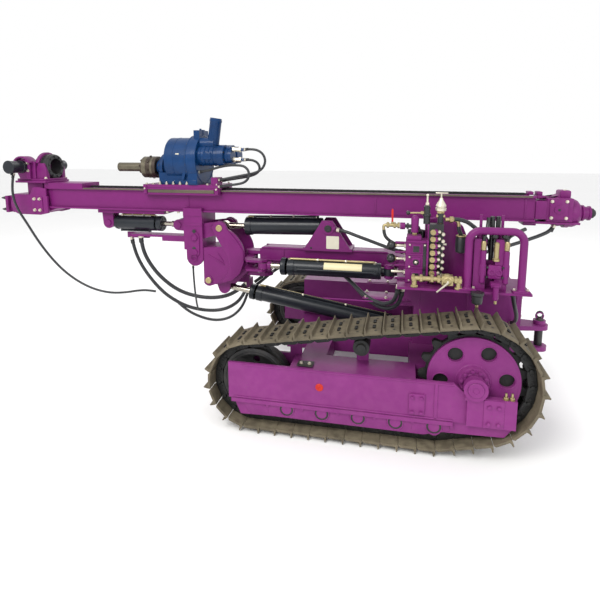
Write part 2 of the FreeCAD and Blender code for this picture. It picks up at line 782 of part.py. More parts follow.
tilt_base = points("tilt_base_x", "tilt_base_z")
tilt_eye = points("tilt_eye_x", "tilt_eye_z")
barrel, shank = cylinder_parts(tilt_base, tilt_eye, 0, size("tilt_radius"), size("tilt_rod"), size("tilt_barrel"), -26)
node("tilt_barrel", barrel)
node("tilt_rod", fuse(shank, rod("y", "-eye_half - 6", "eye_half + 6", ("tilt_eye_x", "tilt_eye_z"), "eye_outer - 7")))
node("tilt_yoke", yoke("tilt_base_x", "tilt_base_z", "tilt_base_z - yoke_drop"))


def swing_parts():
    """The swing cylinder: a barrel and rod that lie level beside the boom, with upright pins."""
    base = V(size("swing_base_x"), size("swing_y"), size("swing_z"))
    parts = cylinder_parts((0, 0), (size("swing_eye_x") - size("swing_base_x"), 0), 0, size("swing_radius"),
                           size("swing_rod"), size("swing_barrel"), 90)
    turned = []
    for part in parts:
        shape = part.Shape.copy()
        shape.rotate(V(), V(1, 0, 0), -90)
        shape.translate(base)
        turned.append(made(shape))
        DOC.removeObject(part.Name)
    return turned


barrel, shank = swing_parts()
node("swing_barrel", barrel)
node("swing_rod", shank)


# Boom

def boom():
    """The boom's box beam, its rear pivot, the front fork, the gusset for the tilt cylinder and the swing lug."""
    profile = [
        ("boom_pivot_x", "boom_low_z - 10"),
        ("boom_front_x", "boom_low_z"),
        ("boom_front_x", "boom_top_z - 20"),
        ("boom_front_x - 60", "boom_top_z"),
        ("boom_pivot_x + 180", "boom_top_z"),
        ("boom_pivot_x", "boom_pivot_z + 46"),
    ]
    beam = drawn("XZ", profile, "-boom_half", "boom_half")
    hub = rod("y", "-boom_half - 8", "boom_half + 8", ("boom_pivot_x", "boom_pivot_z"), "pivot_boss")
    bore = rod("y", "-boom_half - 30", "boom_half + 30", ("boom_pivot_x", "boom_pivot_z"), "pin_radius + pin_gap")
    parts = [beam, hub]
    low_fork = ("knuckle_low_z - 2 - fork_plate", "knuckle_low_z - 2")
    top_fork = ("knuckle_top_z + 2", "knuckle_top_z + 2 + fork_plate")
    parts.append(box(("boom_front_x - 40", "boom_front_x"), ("-boom_half", "boom_half"),
                     (low_fork[0], top_fork[1])))
    for fork in (low_fork, top_fork):
        parts.append(link(("swing_x", 0), "knuckle_radius + 6", ("boom_front_x - 30", 0), "boom_half - 2",
                          *fork, "XY"))
    parts.append(drawn("XZ", [("boom_front_x - 40", "boom_low_z + 10"), ("boom_front_x - 40", low_fork[0]),
                              ("boom_front_x - 190", "boom_low_z + 10")], -30, 30))
    parts.append(rod("z", low_fork[0], top_fork[1], ("swing_x", 0), "pin_radius"))
    gusset = [
        ("tilt_base_x - 190", "boom_top_z - 10"),
        ("tilt_base_x + 200", "boom_top_z - 10"),
        ("tilt_base_x + 48", "tilt_base_z + 62"),
        ("tilt_base_x - 34", "tilt_base_z + 62"),
    ]
    gap = "tilt_radius + 16"
    for low, high in ((gap, f"{gap} + 14"), (f"-({gap}) - 14", f"-({gap})")):
        parts.append(drawn("XZ", gusset, low, high))
        parts.append(rod("y", low, high, ("tilt_base_x", "tilt_base_z"), 46))
    deck = box(("tilt_base_x - 190", "tilt_base_x + 200"), (f"-({gap}) - 14", f"{gap} + 14"),
               ("boom_top_z - 10", "boom_top_z + 14"))
    seat = box(("tilt_base_x - 44", "tilt_base_x + 44"), (f"-({gap})", gap),
               ("boom_top_z", "tilt_base_z - yoke_drop - pin_gap"))
    lug = []
    for low, high in (("swing_z - eye_half - 22", "swing_z - eye_half - 4"),
                      ("swing_z + eye_half + 4", "swing_z + eye_half + 22")):
        ear = link(("swing_base_x", "swing_y"), 36, ("swing_base_x - 4", 40), 46, low, high, "XY")
        lug.append(ear)
    lug.append(rod("z", "swing_z - eye_half - 30", "swing_z + eye_half + 30", ("swing_base_x", "swing_y"),
                   "pin_radius"))
    elbow = rod("y", f"{gap} + 10", f"{gap} + 56", ("tilt_base_x - 47", "tilt_base_z + 10"), 14)
    return cut(fuse(*parts, deck, seat, elbow, *lug), bore)


def boom_head():
    """The inner head on the upright swing pin: it carries the tilt pin, the lift lug and the swing arm."""
    parts = [rod("z", "knuckle_low_z", "knuckle_top_z", ("swing_x", 0), "knuckle_radius")]
    profile = [
        ("swing_x + 20", "knuckle_low_z + 8"),
        ("swing_x + 20", "knuckle_top_z - 8"),
        ("swing_x + 130", "knuckle_top_z - 20"),
        ("tilt_x + 30", "tilt_z + 50"),
        ("tilt_x + 30", "tilt_z - 30"),
        ("tilt_x - 40", "tilt_z - 50"),
        ("lift_eye_x - 110", "lift_eye_z + 50"),
    ]
    for low, high in (("head_half - head_plate", "head_half"), ("-head_half", "head_plate - head_half")):
        parts.append(drawn("XZ", profile, low, high))
        parts.append(link(("lift_eye_x", "lift_eye_z"), 48, ("lift_eye_x + 10", "lift_eye_z + 90"), 70, low, high))
    parts.append(drawn("XZ", [("swing_x + 20", "knuckle_low_z + 8"), ("swing_x + 20", "knuckle_top_z - 8"),
                              ("swing_x + 130", "knuckle_top_z - 20"), ("swing_x + 120", "knuckle_low_z + 40")],
                       "-head_half", "head_half"))
    parts.append(rod("y", "-sector_in + move_gap / 2", "sector_in - move_gap / 2", ("tilt_x", "tilt_z"), "tilt_boss"))
    arm = [
        ("swing_x + 40", 20),
        ("swing_x + 16", 90),
        ("swing_x + 16", "swing_y - 40"),
        ("swing_x - 20", "swing_y + 40"),
        ("swing_eye_x", "swing_y + 42"),
        ("swing_eye_x - 30", "swing_y"),
        ("swing_eye_x", "swing_y - 36"),
        ("swing_x - 40", "swing_y - 40"),
        ("swing_x - 42", 30),
    ]
    for low, high in (("swing_z - eye_half - 22", "swing_z - eye_half - 4"),
                      ("swing_z + eye_half + 4", "swing_z + eye_half + 22")):
        parts.append(drawn("XY", arm, low, high))
    pin_hole = rod("z", "knuckle_low_z - 1", "knuckle_top_z + 1", ("swing_x", 0), "pin_radius + pin_gap")
    tilt_hole = rod("y", "-sector_in", "sector_in", ("tilt_x", "tilt_z"), "pin_radius + pin_gap")
    return cut(fuse(*parts), pin_hole, tilt_hole)


node("boom", boom())
node("boom_head", boom_head())


# Tilt frame

def sector_plates():
    """The two curved plates that turn on the tilt pin, with their top arms and the cross block."""
    parts = []
    for low, high in (("sector_in", "sector_in + sector_plate"), ("-sector_in - sector_plate", "-sector_in")):
        disc = rod("y", low, high, ("sector_x", "sector_z"), "sector_radius")
        window = drawn("XZ", [("sector_x - 65", "sector_z + 76"), ("bracket_rear_x + 1", "sector_z + 58"),
                              ("bracket_rear_x + 1", "sector_z + 260"), ("tilt_eye_x + 44", "tilt_eye_z - 18")],
                       f"{low} - 1", f"{high} + 1")
        arm = link(("tilt_eye_x", "tilt_eye_z"), "sector_top_boss", ("sector_x - 74", "sector_z + 16"), 120,
                   low, high)
        foot = link(("tilt_x", "tilt_z"), "tilt_boss", ("sector_x - 10", "sector_z - 100"), 130, low, high)
        parts.append(fuse(cut(fuse(disc, arm), window), foot))
    block = box(("sector_x - 50", "bracket_rear_x"), ("-sector_in - 1", "sector_in + 1"),
                ("sector_z + 38", "sector_z + 60"))
    pins = []
    outside = "sector_in + sector_plate + pin_head"
    pins.append(rod("y", f"-({outside})", outside, ("tilt_x", "tilt_z"), "pin_radius"))
    for low, high in (("upper_link_in - 2", outside), (f"-({outside})", "2 - upper_link_in")):
        pins.append(rod("y", low, high, ("tilt_eye_x", "tilt_eye_z"), "pin_radius"))
    hose_block = [box(("hose_block_x - 25", "hose_block_x"), (-226, "-sector_in - 2"), (680, 765)),
                  box(("hose_block_x - 25", "hose_block_x + 90"), (-152, "-sector_in - 2"), (740, 850))]
    trim = box(("bracket_rear_x", "bracket_rear_x + 400"), (-300, 300), ("tilt_z - 100", 1500))
    return cut(fuse(*parts, *hose_block, block, *pins), trim)


def mast_bracket():
    """The upright bracket under the mast: side plates, web, strap, saddle with claws, upper link and ledge."""
    x = ("bracket_rear_x", "bracket_front_x")
    middle = "(bracket_rear_x + bracket_front_x - 20) / 2"
    width = "(bracket_front_x - bracket_rear_x - 20) / 2"
    top = "mast_low_z - saddle_gap"
    parts = []
    for low, high in (("bracket_half", "bracket_half + bracket_plate"),
                      ("-bracket_half - bracket_plate", "-bracket_half")):
        parts.append(box(x, (low, high), ("strap_step_z", top)))
        parts.append(box((x[0], f"{x[1]} - 20"), (low, high), ("bracket_low_z", "strap_step_z")))
        parts.append(rod("y", low, high, (middle, "bracket_low_z"), width))
    strap = ("bracket_half + bracket_plate", "bracket_half + bracket_plate + 8")
    parts.append(link((middle, "strap_low_z"), 44, (middle, "strap_top_z"), 44, *strap))
    for z in ("strap_low_z", "strap_top_z"):
        parts.append(rod("y", strap[0], f"{strap[1]} + 7", (middle, z), 27))
    parts.append(box(("bracket_rear_x", "bracket_rear_x + bracket_plate"),
                     ("-sector_in - sector_plate", "sector_in + sector_plate"), ("bracket_low_z", top)))
    parts.append(box(x, ("-bracket_half", "bracket_half"), (f"{top} - 26", top)))
    claw = "flange_half + 2"
    for side in (1, -1):
        cheek = sorted((f"{side} * ({claw})", f"{side} * ({claw} + 24)"), key=number)
        lip = sorted((f"{side} * (mast_half + 3)", f"{side} * ({claw} + 24)"), key=number)
        parts.append(box(x, cheek, ("mast_low_z - 30", "mast_low_z + flange_thick + 20")))
        parts.append(box(x, lip, ("mast_low_z + flange_thick + saddle_gap", "mast_low_z + flange_thick + 20")))
    for low, high in (("upper_link_in", "sector_in - 4"), ("4 - sector_in", "-upper_link_in")):
        parts.append(link(("tilt_eye_x", "tilt_eye_z"), 50, ("bracket_rear_x + 40", "tilt_eye_z - 40"), 66,
                          low, high))
    for low, high in (("eye_half + 4", "eye_half + 22"), ("-eye_half - 22", "-eye_half - 4")):
        parts.append(link(("extend_eye_x", "extend_z"), 46, ("bracket_rear_x + 60", "extend_z"), 60, low, high))
    parts.append(rod("y", "-eye_half - 30", "eye_half + 30", ("extend_eye_x", "extend_z"), "pin_radius"))
    parts.append(box(("bracket_rear_x + 10", "ledge_front_x"), (-58, 58), ("ledge_z - 18", "ledge_z")))
    parts.append(box(("bracket_rear_x + 10", "ledge_front_x - 300"), (36, 58), ("ledge_z - 50", "ledge_z")))
    parts.append(box(("ledge_front_x - 120", "ledge_front_x + 90"), (-58, -36), ("ledge_z - 50", "ledge_z")))
    pin_hole = rod("y", -150, 150, ("tilt_eye_x", "tilt_eye_z"), "pin_radius")
    rod_room = rod("y", "-eye_half - 3", "eye_half + 3", ("tilt_eye_x", "tilt_eye_z"), "eye_outer + 3")
    behind = box(("bracket_rear_x - 200", "bracket_rear_x"), ("sector_in - 2", 300), ("bracket_low_z - 150", 1500))
    other = box(("bracket_rear_x - 200", "bracket_rear_x"), (-300, "2 - sector_in"), ("bracket_low_z - 150", 1500))
    return cut(fuse(*parts), pin_hole, rod_room, behind, other)


node("sector_plates", sector_plates())
node("mast_bracket", mast_bracket())
extend_base = points("extend_base_x", "extend_z")
extend_eye = points("extend_eye_x", "extend_z")
barrel, shank = cylinder_parts(extend_base, extend_eye, 0, size("extend_radius"), size("extend_rod"),
                               size("extend_barrel"), -24)
node("extend_barrel", barrel)
node("extend_rod", shank)


# Mast

def mast_beam():
    """The mast's box beam with its lower flange, top rails, front plate and the brackets below."""
    ends = ("mast_rear_x", "mast_front_x")
    shell = cut(box(ends, ("-mast_half", "mast_half"), ("mast_low_z", "mast_top_z - flange_thick")),
                box((f"{ends[0]} + mast_wall", f"{ends[1]} - mast_wall"),
                    ("mast_wall - mast_half", "mast_half - mast_wall"),
                    ("mast_low_z + mast_wall", "mast_top_z - 60")))
    lower = box(ends, ("-flange_half", "flange_half"), ("mast_low_z", "mast_low_z + flange_thick"))
    rails = [box(ends, side, ("mast_top_z - flange_thick", "mast_top_z")) for side in (
        ("flange_half - rail_wide", "flange_half"), ("-flange_half", "rail_wide - flange_half"))]
    rails += [box(ends, side, ("mast_top_z - flange_thick - 6", "mast_top_z - flange_thick")) for side in (
        ("mast_half - 30", "mast_half"), ("-mast_half", "30 - mast_half"))]
    cap = box(("mast_front_x - 380", "mast_front_x"), ("-flange_half", "flange_half"), ("mast_top_z", "mast_top_z + 38"))
    ears = []
    for low, high in (("eye_half + 4", "eye_half + 24"), ("-eye_half - 24", "-eye_half - 4")):
        ears.append(link(("extend_base_x", "extend_z"), 50, ("extend_base_x + 8", "mast_low_z - 20"), 50, low, high))
    pad = box(("extend_base_x - 560", "extend_base_x + 68"), (-90, 90), ("mast_low_z - 32", "mast_low_z"))
    pin = rod("y", "-eye_half - 34", "eye_half + 34", ("extend_base_x", "extend_z"), "pin_radius")
    trim = box(("extend_base_x - 100", "extend_base_x + 100"), (-60, 60), ("mast_low_z + 0.5", "mast_low_z + 60"))
    ears = [cut(e, trim) for e in ears]
    return fuse(shell, lower, *rails, cap, *ears, pad, pin)


def mast_foot():
    """The foot at the mast's front: rounded cheeks, a cross plate and two prongs."""
    cheeks = [link(("mast_front_x + 250", 1412), 92, ("mast_front_x + 40", 1410), 92, *span)
              for span in (("flange_half + 2", "flange_half + 24"), ("-flange_half - 24", "-flange_half - 2"))]
    core = box(("mast_front_x", "mast_front_x + 345"), ("-flange_half - 2", "flange_half + 2"), (1335, 1500))
    plate = box(("mast_front_x + 340", "mast_front_x + 430"), (-110, 110), (1330, 1480))
    prongs = [link(("foot_tip_x - 34", 0), 34, ("mast_front_x + 400", 0), 60, z, z + 36, "XY")
              for z in (1320, 1428)]
    wedge = drawn("XZ", [("mast_front_x - 110", "mast_low_z"), ("mast_front_x", "mast_low_z"),
                         ("mast_front_x + 200", 1345), ("mast_front_x - 10", 1345)], -100, 100)
    return fuse(*cheeks, core, plate, *prongs, wedge)


def rod_clamp():
    """The clamp that the drill rod passes, with its base, ring, hook and cross cylinders."""
    low, high = "clamp_x - clamp_thick / 2", "clamp_x + clamp_thick / 2"
    spot = (0, "spindle_z")
    ring = rod("x", low, high, spot, "clamp_radius", "clamp_bore")
    base = box(("clamp_x - 60", "clamp_x + 250"), (-150, 150), ("mast_top_z + 38", "mast_top_z + 75"))
    cheeks = [box((low, high), side, ("mast_top_z + 70", "spindle_z")) for side in (
        ("clamp_radius - 30", "clamp_radius + 10"), ("-clamp_radius - 10", "30 - clamp_radius"))]
    plates = [box(("clamp_x + 90", "clamp_x + 112"), (-150, 150), ("mast_top_z + 70", "spindle_z + 40")),
              box(("clamp_x + 90", "clamp_x + 150"), (80, 150), ("spindle_z", "spindle_z + 145"))]
    bar_hole = rod("x", "clamp_x - 100", "clamp_x + 200", spot, "clamp_bore")
    near = rod("y", 120, 300, ("clamp_x + 164", "spindle_z"), 56)
    far = rod("y", -300, -120, ("clamp_x + 164", "spindle_z"), 56)
    return cut(fuse(ring, base, *cheeks, *plates, near, far), bar_hole)


def feed_motor():
    """The motor and bearings at the mast's rear end that drive the feed chain."""
    plate = box(("mast_rear_x - 225", "mast_rear_x - 95"), (-122, 122), (1392, 1545))
    neck = box(("mast_rear_x - 100", "mast_rear_x"), (-105, 105), (1400, 1530))
    housing = rod("z", 1330, 1560, ("mast_rear_x - 275", 0), 88)
    cap = rod("x", "motor_tip_x", "mast_rear_x - 270", (0, 1440), 46)
    lower = box(("mast_rear_x - 320", "mast_rear_x + 72"), (-100, 100), (1348, 1382))
    port = box(("mast_rear_x - 240", "mast_rear_x - 170"), (-50, 50), (1540, 1610))
    tops = [box(("mast_rear_x - 60", "mast_rear_x + 40"), (-40, 40), (1566, 1578))]
    tops += [box((f"mast_rear_x + {x}", f"mast_rear_x + {x + 36}"), (-40, 40), (1570, 1592)) for x in (-60, 0)]
    bridge = box(("mast_rear_x - 240", "mast_rear_x"), (-60, 60), (1530, 1566))
    beam = box(("mast_rear_x", "mast_rear_x + 200"), (-200, 200), ("mast_low_z", "mast_top_z"))
    return cut(fuse(plate, neck, housing, cap, lower, port, *tops, bridge), beam)


def feed_chain():
    """The feed chain's upper run, lying along the beam between the rails."""
    return box(("mast_rear_x + 62", "mast_front_x - 390"), (-22, 22), ("mast_top_z - flange_thick", "mast_top_z + 6"))


node("mast_beam", mast_beam())
node("mast_foot", mast_foot())
node("rod_clamp", rod_clamp())
node("feed_motor", feed_motor())
node("feed_chain", feed_chain())


# Rotary head

def carriage():
    """The sliding carriage: its top plate and the strips that grip the rails."""
    x = ("carriage_rear_x", "carriage_front_x")
    base = "mast_top_z + 16"
    parts = [box(x, ("-carriage_half", "carriage_half"), (base, f"{base} + carriage_thick")),
             box(("carriage_rear_x + 15", "carriage_rear_x + 70"), (40, 142),
                 (f"{base} + carriage_thick - 1", f"{base} + carriage_thick + 62"))]
    for side in (1, -1):
        cheek = sorted((f"{side} * (flange_half + 3)", f"{side} * (flange_half + 28)"), key=number)
        lip = sorted((f"{side} * (flange_half - 18)", f"{side} * (flange_half + 28)"), key=number)
        strip = sorted((f"{side} * (flange_half - rail_wide)", f"{side} * (flange_half + 5)"), key=number)
        parts.append(box(x, cheek, ("mast_top_z - flange_thick - 28", base)))
        parts.append(box(x, lip, ("mast_top_z - flange_thick - 28", "mast_top_z - flange_thick - saddle_gap")))
        parts.append(box(x, strip, ("mast_top_z + saddle_gap", base)))
    return fuse(*parts)


def rotary_head():
    """The gearbox that turns the spindle: nose with its bolt ring, round housing and flange plate."""
    base = "mast_top_z + 16 + carriage_thick"
    centre = (0, "spindle_z")
    nose = rod("x", "gearbox_front_x - 5", "nose_front_x", centre, 92)
    ring = rod("x", "nose_front_x - 34", "nose_front_x - 8", centre, 112)
    neck = rod("x", "nose_front_x - 5", "nose_front_x + 46", centre, 62)
    housing = rod("x", "gearbox_rear_x", "gearbox_front_x", (0, "spindle_z + gearbox_rise"), "gearbox_radius")
    flange = rod("x", "gearbox_rear_x - 38", "gearbox_rear_x + 40", (0, "spindle_z + gearbox_rise"), "gearbox_radius + 16")
    cheek = box(("gearbox_rear_x - 38", "gearbox_rear_x + 40"), (-160, 160), (base, "spindle_z + gearbox_rise"))
    crown = box(("gearbox_rear_x - 38", "gearbox_rear_x + 12"), (-90, 90), ("spindle_z + gearbox_rise", "spindle_z + gearbox_rise + 236"))
    foot = box(("gearbox_rear_x + 20", "nose_front_x - 8"), (-120, 120), (base, "spindle_z - 40"))
    bore = rod("x", "spindle_rear_x - 12", "nose_front_x + 60", centre, "spindle_radius + pin_gap")
    below = box((400, 1000), (-220, 220), (1400, base))
    return cut(fuse(nose, ring, neck, housing, flange, cheek, crown, foot), bore, below)


def head_motors():
    """The two rotation motors behind the gearbox and the slanted cylinder above them."""
    face = "gearbox_rear_x - 38"
    parts = []
    for side in (-1, 1):
        across = (f"{side} * motor_y", "spindle_z + head_motor_rise")
        parts.append(rod("x", "head_motor_rear_x + 90", face, across, "head_motor_radius"))
        parts.append(rod("x", "head_motor_rear_x", face, across, "head_motor_radius - 18"))
        parts.append(rod("x", "head_motor_rear_x + 60", "head_motor_rear_x + 110", across, "head_motor_radius + 8"))
    parts.append(box(("head_motor_rear_x + 20", face), ("-motor_y", "motor_y"),
                     ("spindle_z + head_motor_rise - 60", "spindle_z + head_motor_rise + 60")))
    tilted = rod("z", 0, 225, (0, 0), 46)
    parts.append(moved(tilted, V(394, 60, number("spindle_z + head_motor_rise + 78")), -8.5))
    parts.append(rod("x", 370, face, (60, "spindle_z + head_motor_rise + 95"), 52))
    for z in ("spindle_z + head_motor_rise - 30", "spindle_z + head_motor_rise + 50"):
        parts.append(rod("x", "hose_fitting_x", "head_motor_rear_x + 20", ("hose_fitting_y", z), 14))
    return fuse(*parts)


def spindle():
    """The turning spindle: shaft, dark coupling and threaded nose."""
    centre = (0, "spindle_z")
    return fuse(rod("x", "spindle_rear_x", "spindle_tip_x", centre, "spindle_radius"),
                rod("x", "nose_front_x + 52", "nose_front_x + 180", centre, "collar_radius"))


node("carriage", carriage())
node("rotary_head", rotary_head())
node("head_motors", head_motors())
node("spindle", spindle())


# Controls

def control_stand():
    """The shelf and upright stand for the valves, on the rear block's left side."""
    shelf = box(("rail_rear_x - 60", "pillar_front_x + 180"), ("pillar_in", "shelf_out"),
                ("shelf_z", "shelf_z + shelf_thick"))
    post = box(("pillar_rear_x", "pillar_front_x"), ("pillar_in", "rear_block_out"),
               ("rear_block_top_z - 0", "shelf_z"))
    sheet = drawn("XZ", [("pillar_front_x", "shelf_z"), ("pillar_front_x", "pillar_top_z - 20"),
                         ("pillar_front_x - 110", "pillar_top_z"), ("pillar_rear_x + 110", "pillar_top_z - 60"),
                         ("pillar_rear_x", "shelf_z + 120"), ("pillar_rear_x", "shelf_z")],
                  "pillar_in", "pillar_out")
    return fuse(shelf, post, sheet)


def valve_bank():
    """The main valve bank: a stack of valve blocks with their spool ends and a bracket."""
    parts = [box((-1300, -1160), (400, 520), ("shelf_z + shelf_thick", 1290))]
    parts.append(box((-1400, -1300), (430, 500), ("shelf_z + shelf_thick", 1400)))
    parts.append(box((-1400, -1290), ("pillar_out", 440), (1120, 1200)))
    for i in range(8):
        z = 1030 + 46 * i
        parts.append(rod("y", 490, 545, (-1350, z), 18))
        parts.append(rod("x", -1160, -1090, (455, z - 20 if z < 1290 else 1260), 9))
    return fuse(*parts)


def travel_valves():
    """The two travel valves behind the hand rail."""
    parts = []
    for x in (-1790, -1660):
        parts.append(box((x, x + 75), (520, 590), ("shelf_z + shelf_thick", 1330)))
        parts.append(rod("z", 1330, 1395, (f"{x} + 37", 555), 22))
        parts.append(rod("z", 1390, 1480, (f"{x} + 37", 555), 9))
    parts.append(box((-1790, -1585), (500, 525), ("shelf_z + shelf_thick", 1180)))
    for x in (-1735, -1700):
        parts.append(rod("z", 1170, 1465, (x, 512), 15))
    return fuse(*parts)


def hand_rail():
    """The U-shaped tube round the travel valves."""
    parts = []
    for x in ("rail_front_x", "rail_rear_x"):
        parts.append(rod("z", "shelf_z + shelf_thick", "rail_top_z - 70", (x, "rail_y"), "rail_tube"))
    parts.append(rod("x", "rail_rear_x + 70", "rail_front_x - 70", ("rail_y", "rail_top_z"), "rail_tube"))
    bends = []
    for x, way in (("rail_front_x", -1), ("rail_rear_x", 1)):
        centre = V(number(x) + way * 70, size("rail_y"), size("rail_top_z") - 70)
        ring = Part.makeTorus(70, size("rail_tube"), centre, V(0, 1, 0))
        corner = Part.makeBox(200, 200, 200, V(centre.x - (0 if way < 0 else 200), centre.y - 100, centre.z))
        bends.append(made(ring.common(corner)))
    return fuse(*parts, *bends)


def air_line():
    """The brass air line with its ball valve along the controls."""
    run = rod("x", -1515, -1200, (620, 1060), 17)
    valve = box((-1460, -1390), (590, 650), (1030, 1090))
    drop = rod("z", "shelf_z + shelf_thick", 1060, (-1220, 620), 17)
    rear = rod("z", "shelf_z + shelf_thick", 1060, (-1495, 620), 17)
    return fuse(run, valve, drop, rear)


def air_filter():
    """The upright filter and lubricator beside the stand."""
    body = rod("z", "shelf_z + shelf_thick", 1290, (-1230, 330), 52)
    head = rod("z", 1290, 1330, (-1230, 330), 60)
    return fuse(body, head, box(("pillar_front_x", -1230), (310, 350), (1240, 1280)))


node("control_stand", control_stand())
node("valve_bank", valve_bank())
node("travel_valves", travel_valves())
node("hand_rail", hand_rail())
node("air_line", air_line())
node("air_filter", air_filter())


# Hydraulic hoses and pipes

def boom_pipes():
    """Three pipes under the boom between the hoses at its two ends, held by two clamps."""
    pipes = [rod("x", "pipe_rear_x", "pipe_front_x", (y, "boom_low_z - 40"), 14) for y in (-52, -18, 16)]
    clamps = [box((x, f"{x} + 34"), (-74, 38), ("boom_low_z - 60", "boom_low_z - 24"))
              for x in ("pipe_front_x - 90", "pipe_rear_x + 40")]
    lugs = [box((x, f"{x} + 34"), (-56, 38), ("boom_low_z - 30", z))
            for x, z in (("pipe_front_x - 90", "boom_low_z - 3.1"), ("pipe_rear_x + 40", "boom_low_z - 4.6"))]
    return fuse(*pipes, *clamps, *lugs)


node("boom_pipes", boom_pipes())

# Each hose: its name, its outer diameter and the points that its straight runs meet at.
HOSES = {
    "hose_feed_1": (34, [(1118, 8, 1150), (1112, 6, 1040), (1066, -8, 910), (970, -35, 765), (820, -75, 635),
                         (640, -115, 575), (455, -135, 575), (300, -146, 632), (188, -150, 735)]),
    "hose_feed_2": (30, [(1240, -47, 1118), (1226, -46, 1020), (1165, -46, 870), (1052, -48, 715),
                         (930, -58, 592), (770, -90, 492), (600, -136, 445), (440, -176, 448),
                         (312, -194, 515), (235, -190, 620), (188, -176, 722)]),
    "hose_feed_3": (24, [(866, -84, 552), (775, -92, 462), (640, -110, 392), (505, -144, 354), (380, -180, 374),
                         (285, -204, 452), (225, -211, 570), (188, -209, 700)]),
    "hose_bracket": (16, [(572, 129, 940), (573, 126, 875), (578, 108, 780), (592, 66, 680), (612, 8, 590),
                          (633, -52, 515), (645, -100, 462)]),
    "hose_clamp": (20, [(2149, 250, 1691), (2160, 260, 1620), (2168, 260, 1490), (2152, 232, 1370),
                        (2112, 190, 1250), (2062, 150, 1105), (1985, 110, 950), (1876, 76, 805),
                        (1736, 54, 698), (1588, 38, 632), (1440, 20, 604), (1305, 4, 612), (1180, -8, 636),
                        (1085, -12, 644), (1012, -14, 636)]),
    "hose_head_1": (28, [(-254, -52, 952), (-198, -76, 951), (-132, -108, 938), (-68, -132, 903),
                         (-8, -148, 856), (48, -155, 802), (92, -156, 762), (126, -155, 738)]),
    "hose_head_2": (28, [(-252, -18, 952), (-200, -45, 941), (-138, -80, 912), (-75, -112, 868),
                         (-12, -134, 818), (44, -147, 768), (90, -152, 726), (126, -154, 700)]),
    "hose_boom_1": (30, [(-560, 16, 952), (-648, 58, 934), (-748, 150, 884), (-840, 245, 828),
                         (-930, 312, 790), (-1018, 368, 782), (-1084, 410, 820), (-1112, 428, 885),
                         (-1120, 432, 950)]),
    "hose_boom_2": (30, [(-560, -18, 952), (-652, 20, 924), (-754, 108, 864), (-846, 210, 798),
                         (-940, 290, 756), (-1036, 350, 744), (-1108, 388, 782), (-1140, 402, 850),
                         (-1146, 404, 925)]),
    "hose_tilt": (26, [(-641, 142, 1280), (-706, 148, 1272), (-795, 182, 1246), (-893, 236, 1225),
                       (-990, 308, 1206), (-1078, 374, 1192), (-1162, 424, 1184)]),
    "hose_mast": (26, [(-2205, 30, 1350), (-2186, 36, 1310), (-2112, 58, 1276), (-2012, 92, 1243),
                       (-1902, 126, 1209), (-1792, 150, 1176), (-1692, 166, 1146), (-1616, 192, 1124),
                       (-1575, 232, 1113), (-1566, 269, 1110)]),
    "hose_valve": (26, [(-1850, 500, 987), (-1856, 497, 925), (-1876, 476, 855), (-1900, 434, 790),
                        (-1910, 378, 735), (-1904, 330, 700), (-1896, 298, 685)]),
    "hose_motor_1": (20, [(122, 82, 1892), (45, 84, 1900), (-30, 86, 1872), (-62, 88, 1806), (-34, 92, 1738),
                          (36, 98, 1704), (128, 104, 1688), (230, 112, 1668), (332, 118, 1648)]),
    "hose_motor_2": (20, [(122, 82, 1812), (66, 78, 1814), (12, 72, 1792), (-8, 68, 1742), (22, 64, 1700),
                          (96, 62, 1676), (205, 62, 1658), (332, 62, 1638)]),
    "hose_motor_3": (20, [(499, 122, 1712), (430, 124, 1720), (340, 128, 1748), (245, 134, 1768),
                          (160, 140, 1770), (98, 146, 1764), (59, 152, 1725), (59, 158, 1670), (98, 164, 1632),
                          (170, 166, 1618), (245, 162, 1610), (317, 146, 1596)]),
}


def hose(name, diameter, route):
    """A hose's tube: straight runs joined by arcs that touch both runs, and its smallest arc."""
    spots = [V(*p) for p in route]
    runs = [(b - a).Length for a, b in zip(spots, spots[1:])]
    edges = []
    radii = []
    last = spots[0]
    for i in range(1, len(spots) - 1):
        back = (spots[i - 1] - spots[i]).normalize()
        ahead = (spots[i + 1] - spots[i]).normalize()
        turn = math.pi - back.getAngle(ahead)
        reach = 0.45 * min(runs[i - 1], runs[i])
        radius = reach / math.tan(turn / 2)
        radii.append(radius)
        middle = (back + ahead).normalize()
        centre = spots[i] + middle * (radius / math.cos(turn / 2))
        start = spots[i] + back * reach
        end = spots[i] + ahead * reach
        edges.append(Part.LineSegment(last, start).toShape())
        edges.append(Part.Arc(start, centre - middle * radius, end).toShape())
        last = end
    edges.append(Part.LineSegment(last, spots[-1]).toShape())
    path = Part.Wire(edges)
    profile = Part.Wire([Part.Circle(spots[0], spots[1] - spots[0], diameter / 2).toShape()])
    tube = path.makePipeShell([profile], True, False)
    share = tube.Volume / (math.pi * diameter ** 2 / 4 * path.Length)
    print(f"{name:14s} length {path.Length:6.0f}  smallest radius {min(radii):5.0f} = {min(radii) / diameter:4.1f}"
          f" diameters  longest run {max(runs):4.0f}  volume share {share:.4f}")
    return made(tube)


for name, (diameter, route) in HOSES.items():
    node(name, hose(name, diameter, route))


DOC.recompute()
for thing in DOC.Objects:
    if {"Invalid", "Error"} & set(thing.State):
        raise RuntimeError(f"{thing.Label} failed: {thing.State} {thing.ExpressionEngine}")
for label, piece in NODES.items():
    if piece.Shape.isNull() or not piece.Shape.isValid():
        raise RuntimeError(f"{label} has no valid shape")

os.makedirs("parts", exist_ok=True)
for label, piece in NODES.items():
    piece.Shape.exportStep(f"parts/{label}.step")
    print(f"{label:22s} solids {len(piece.Shape.Solids)}  volume {piece.Shape.Volume / 1e6:9.2f} litres")
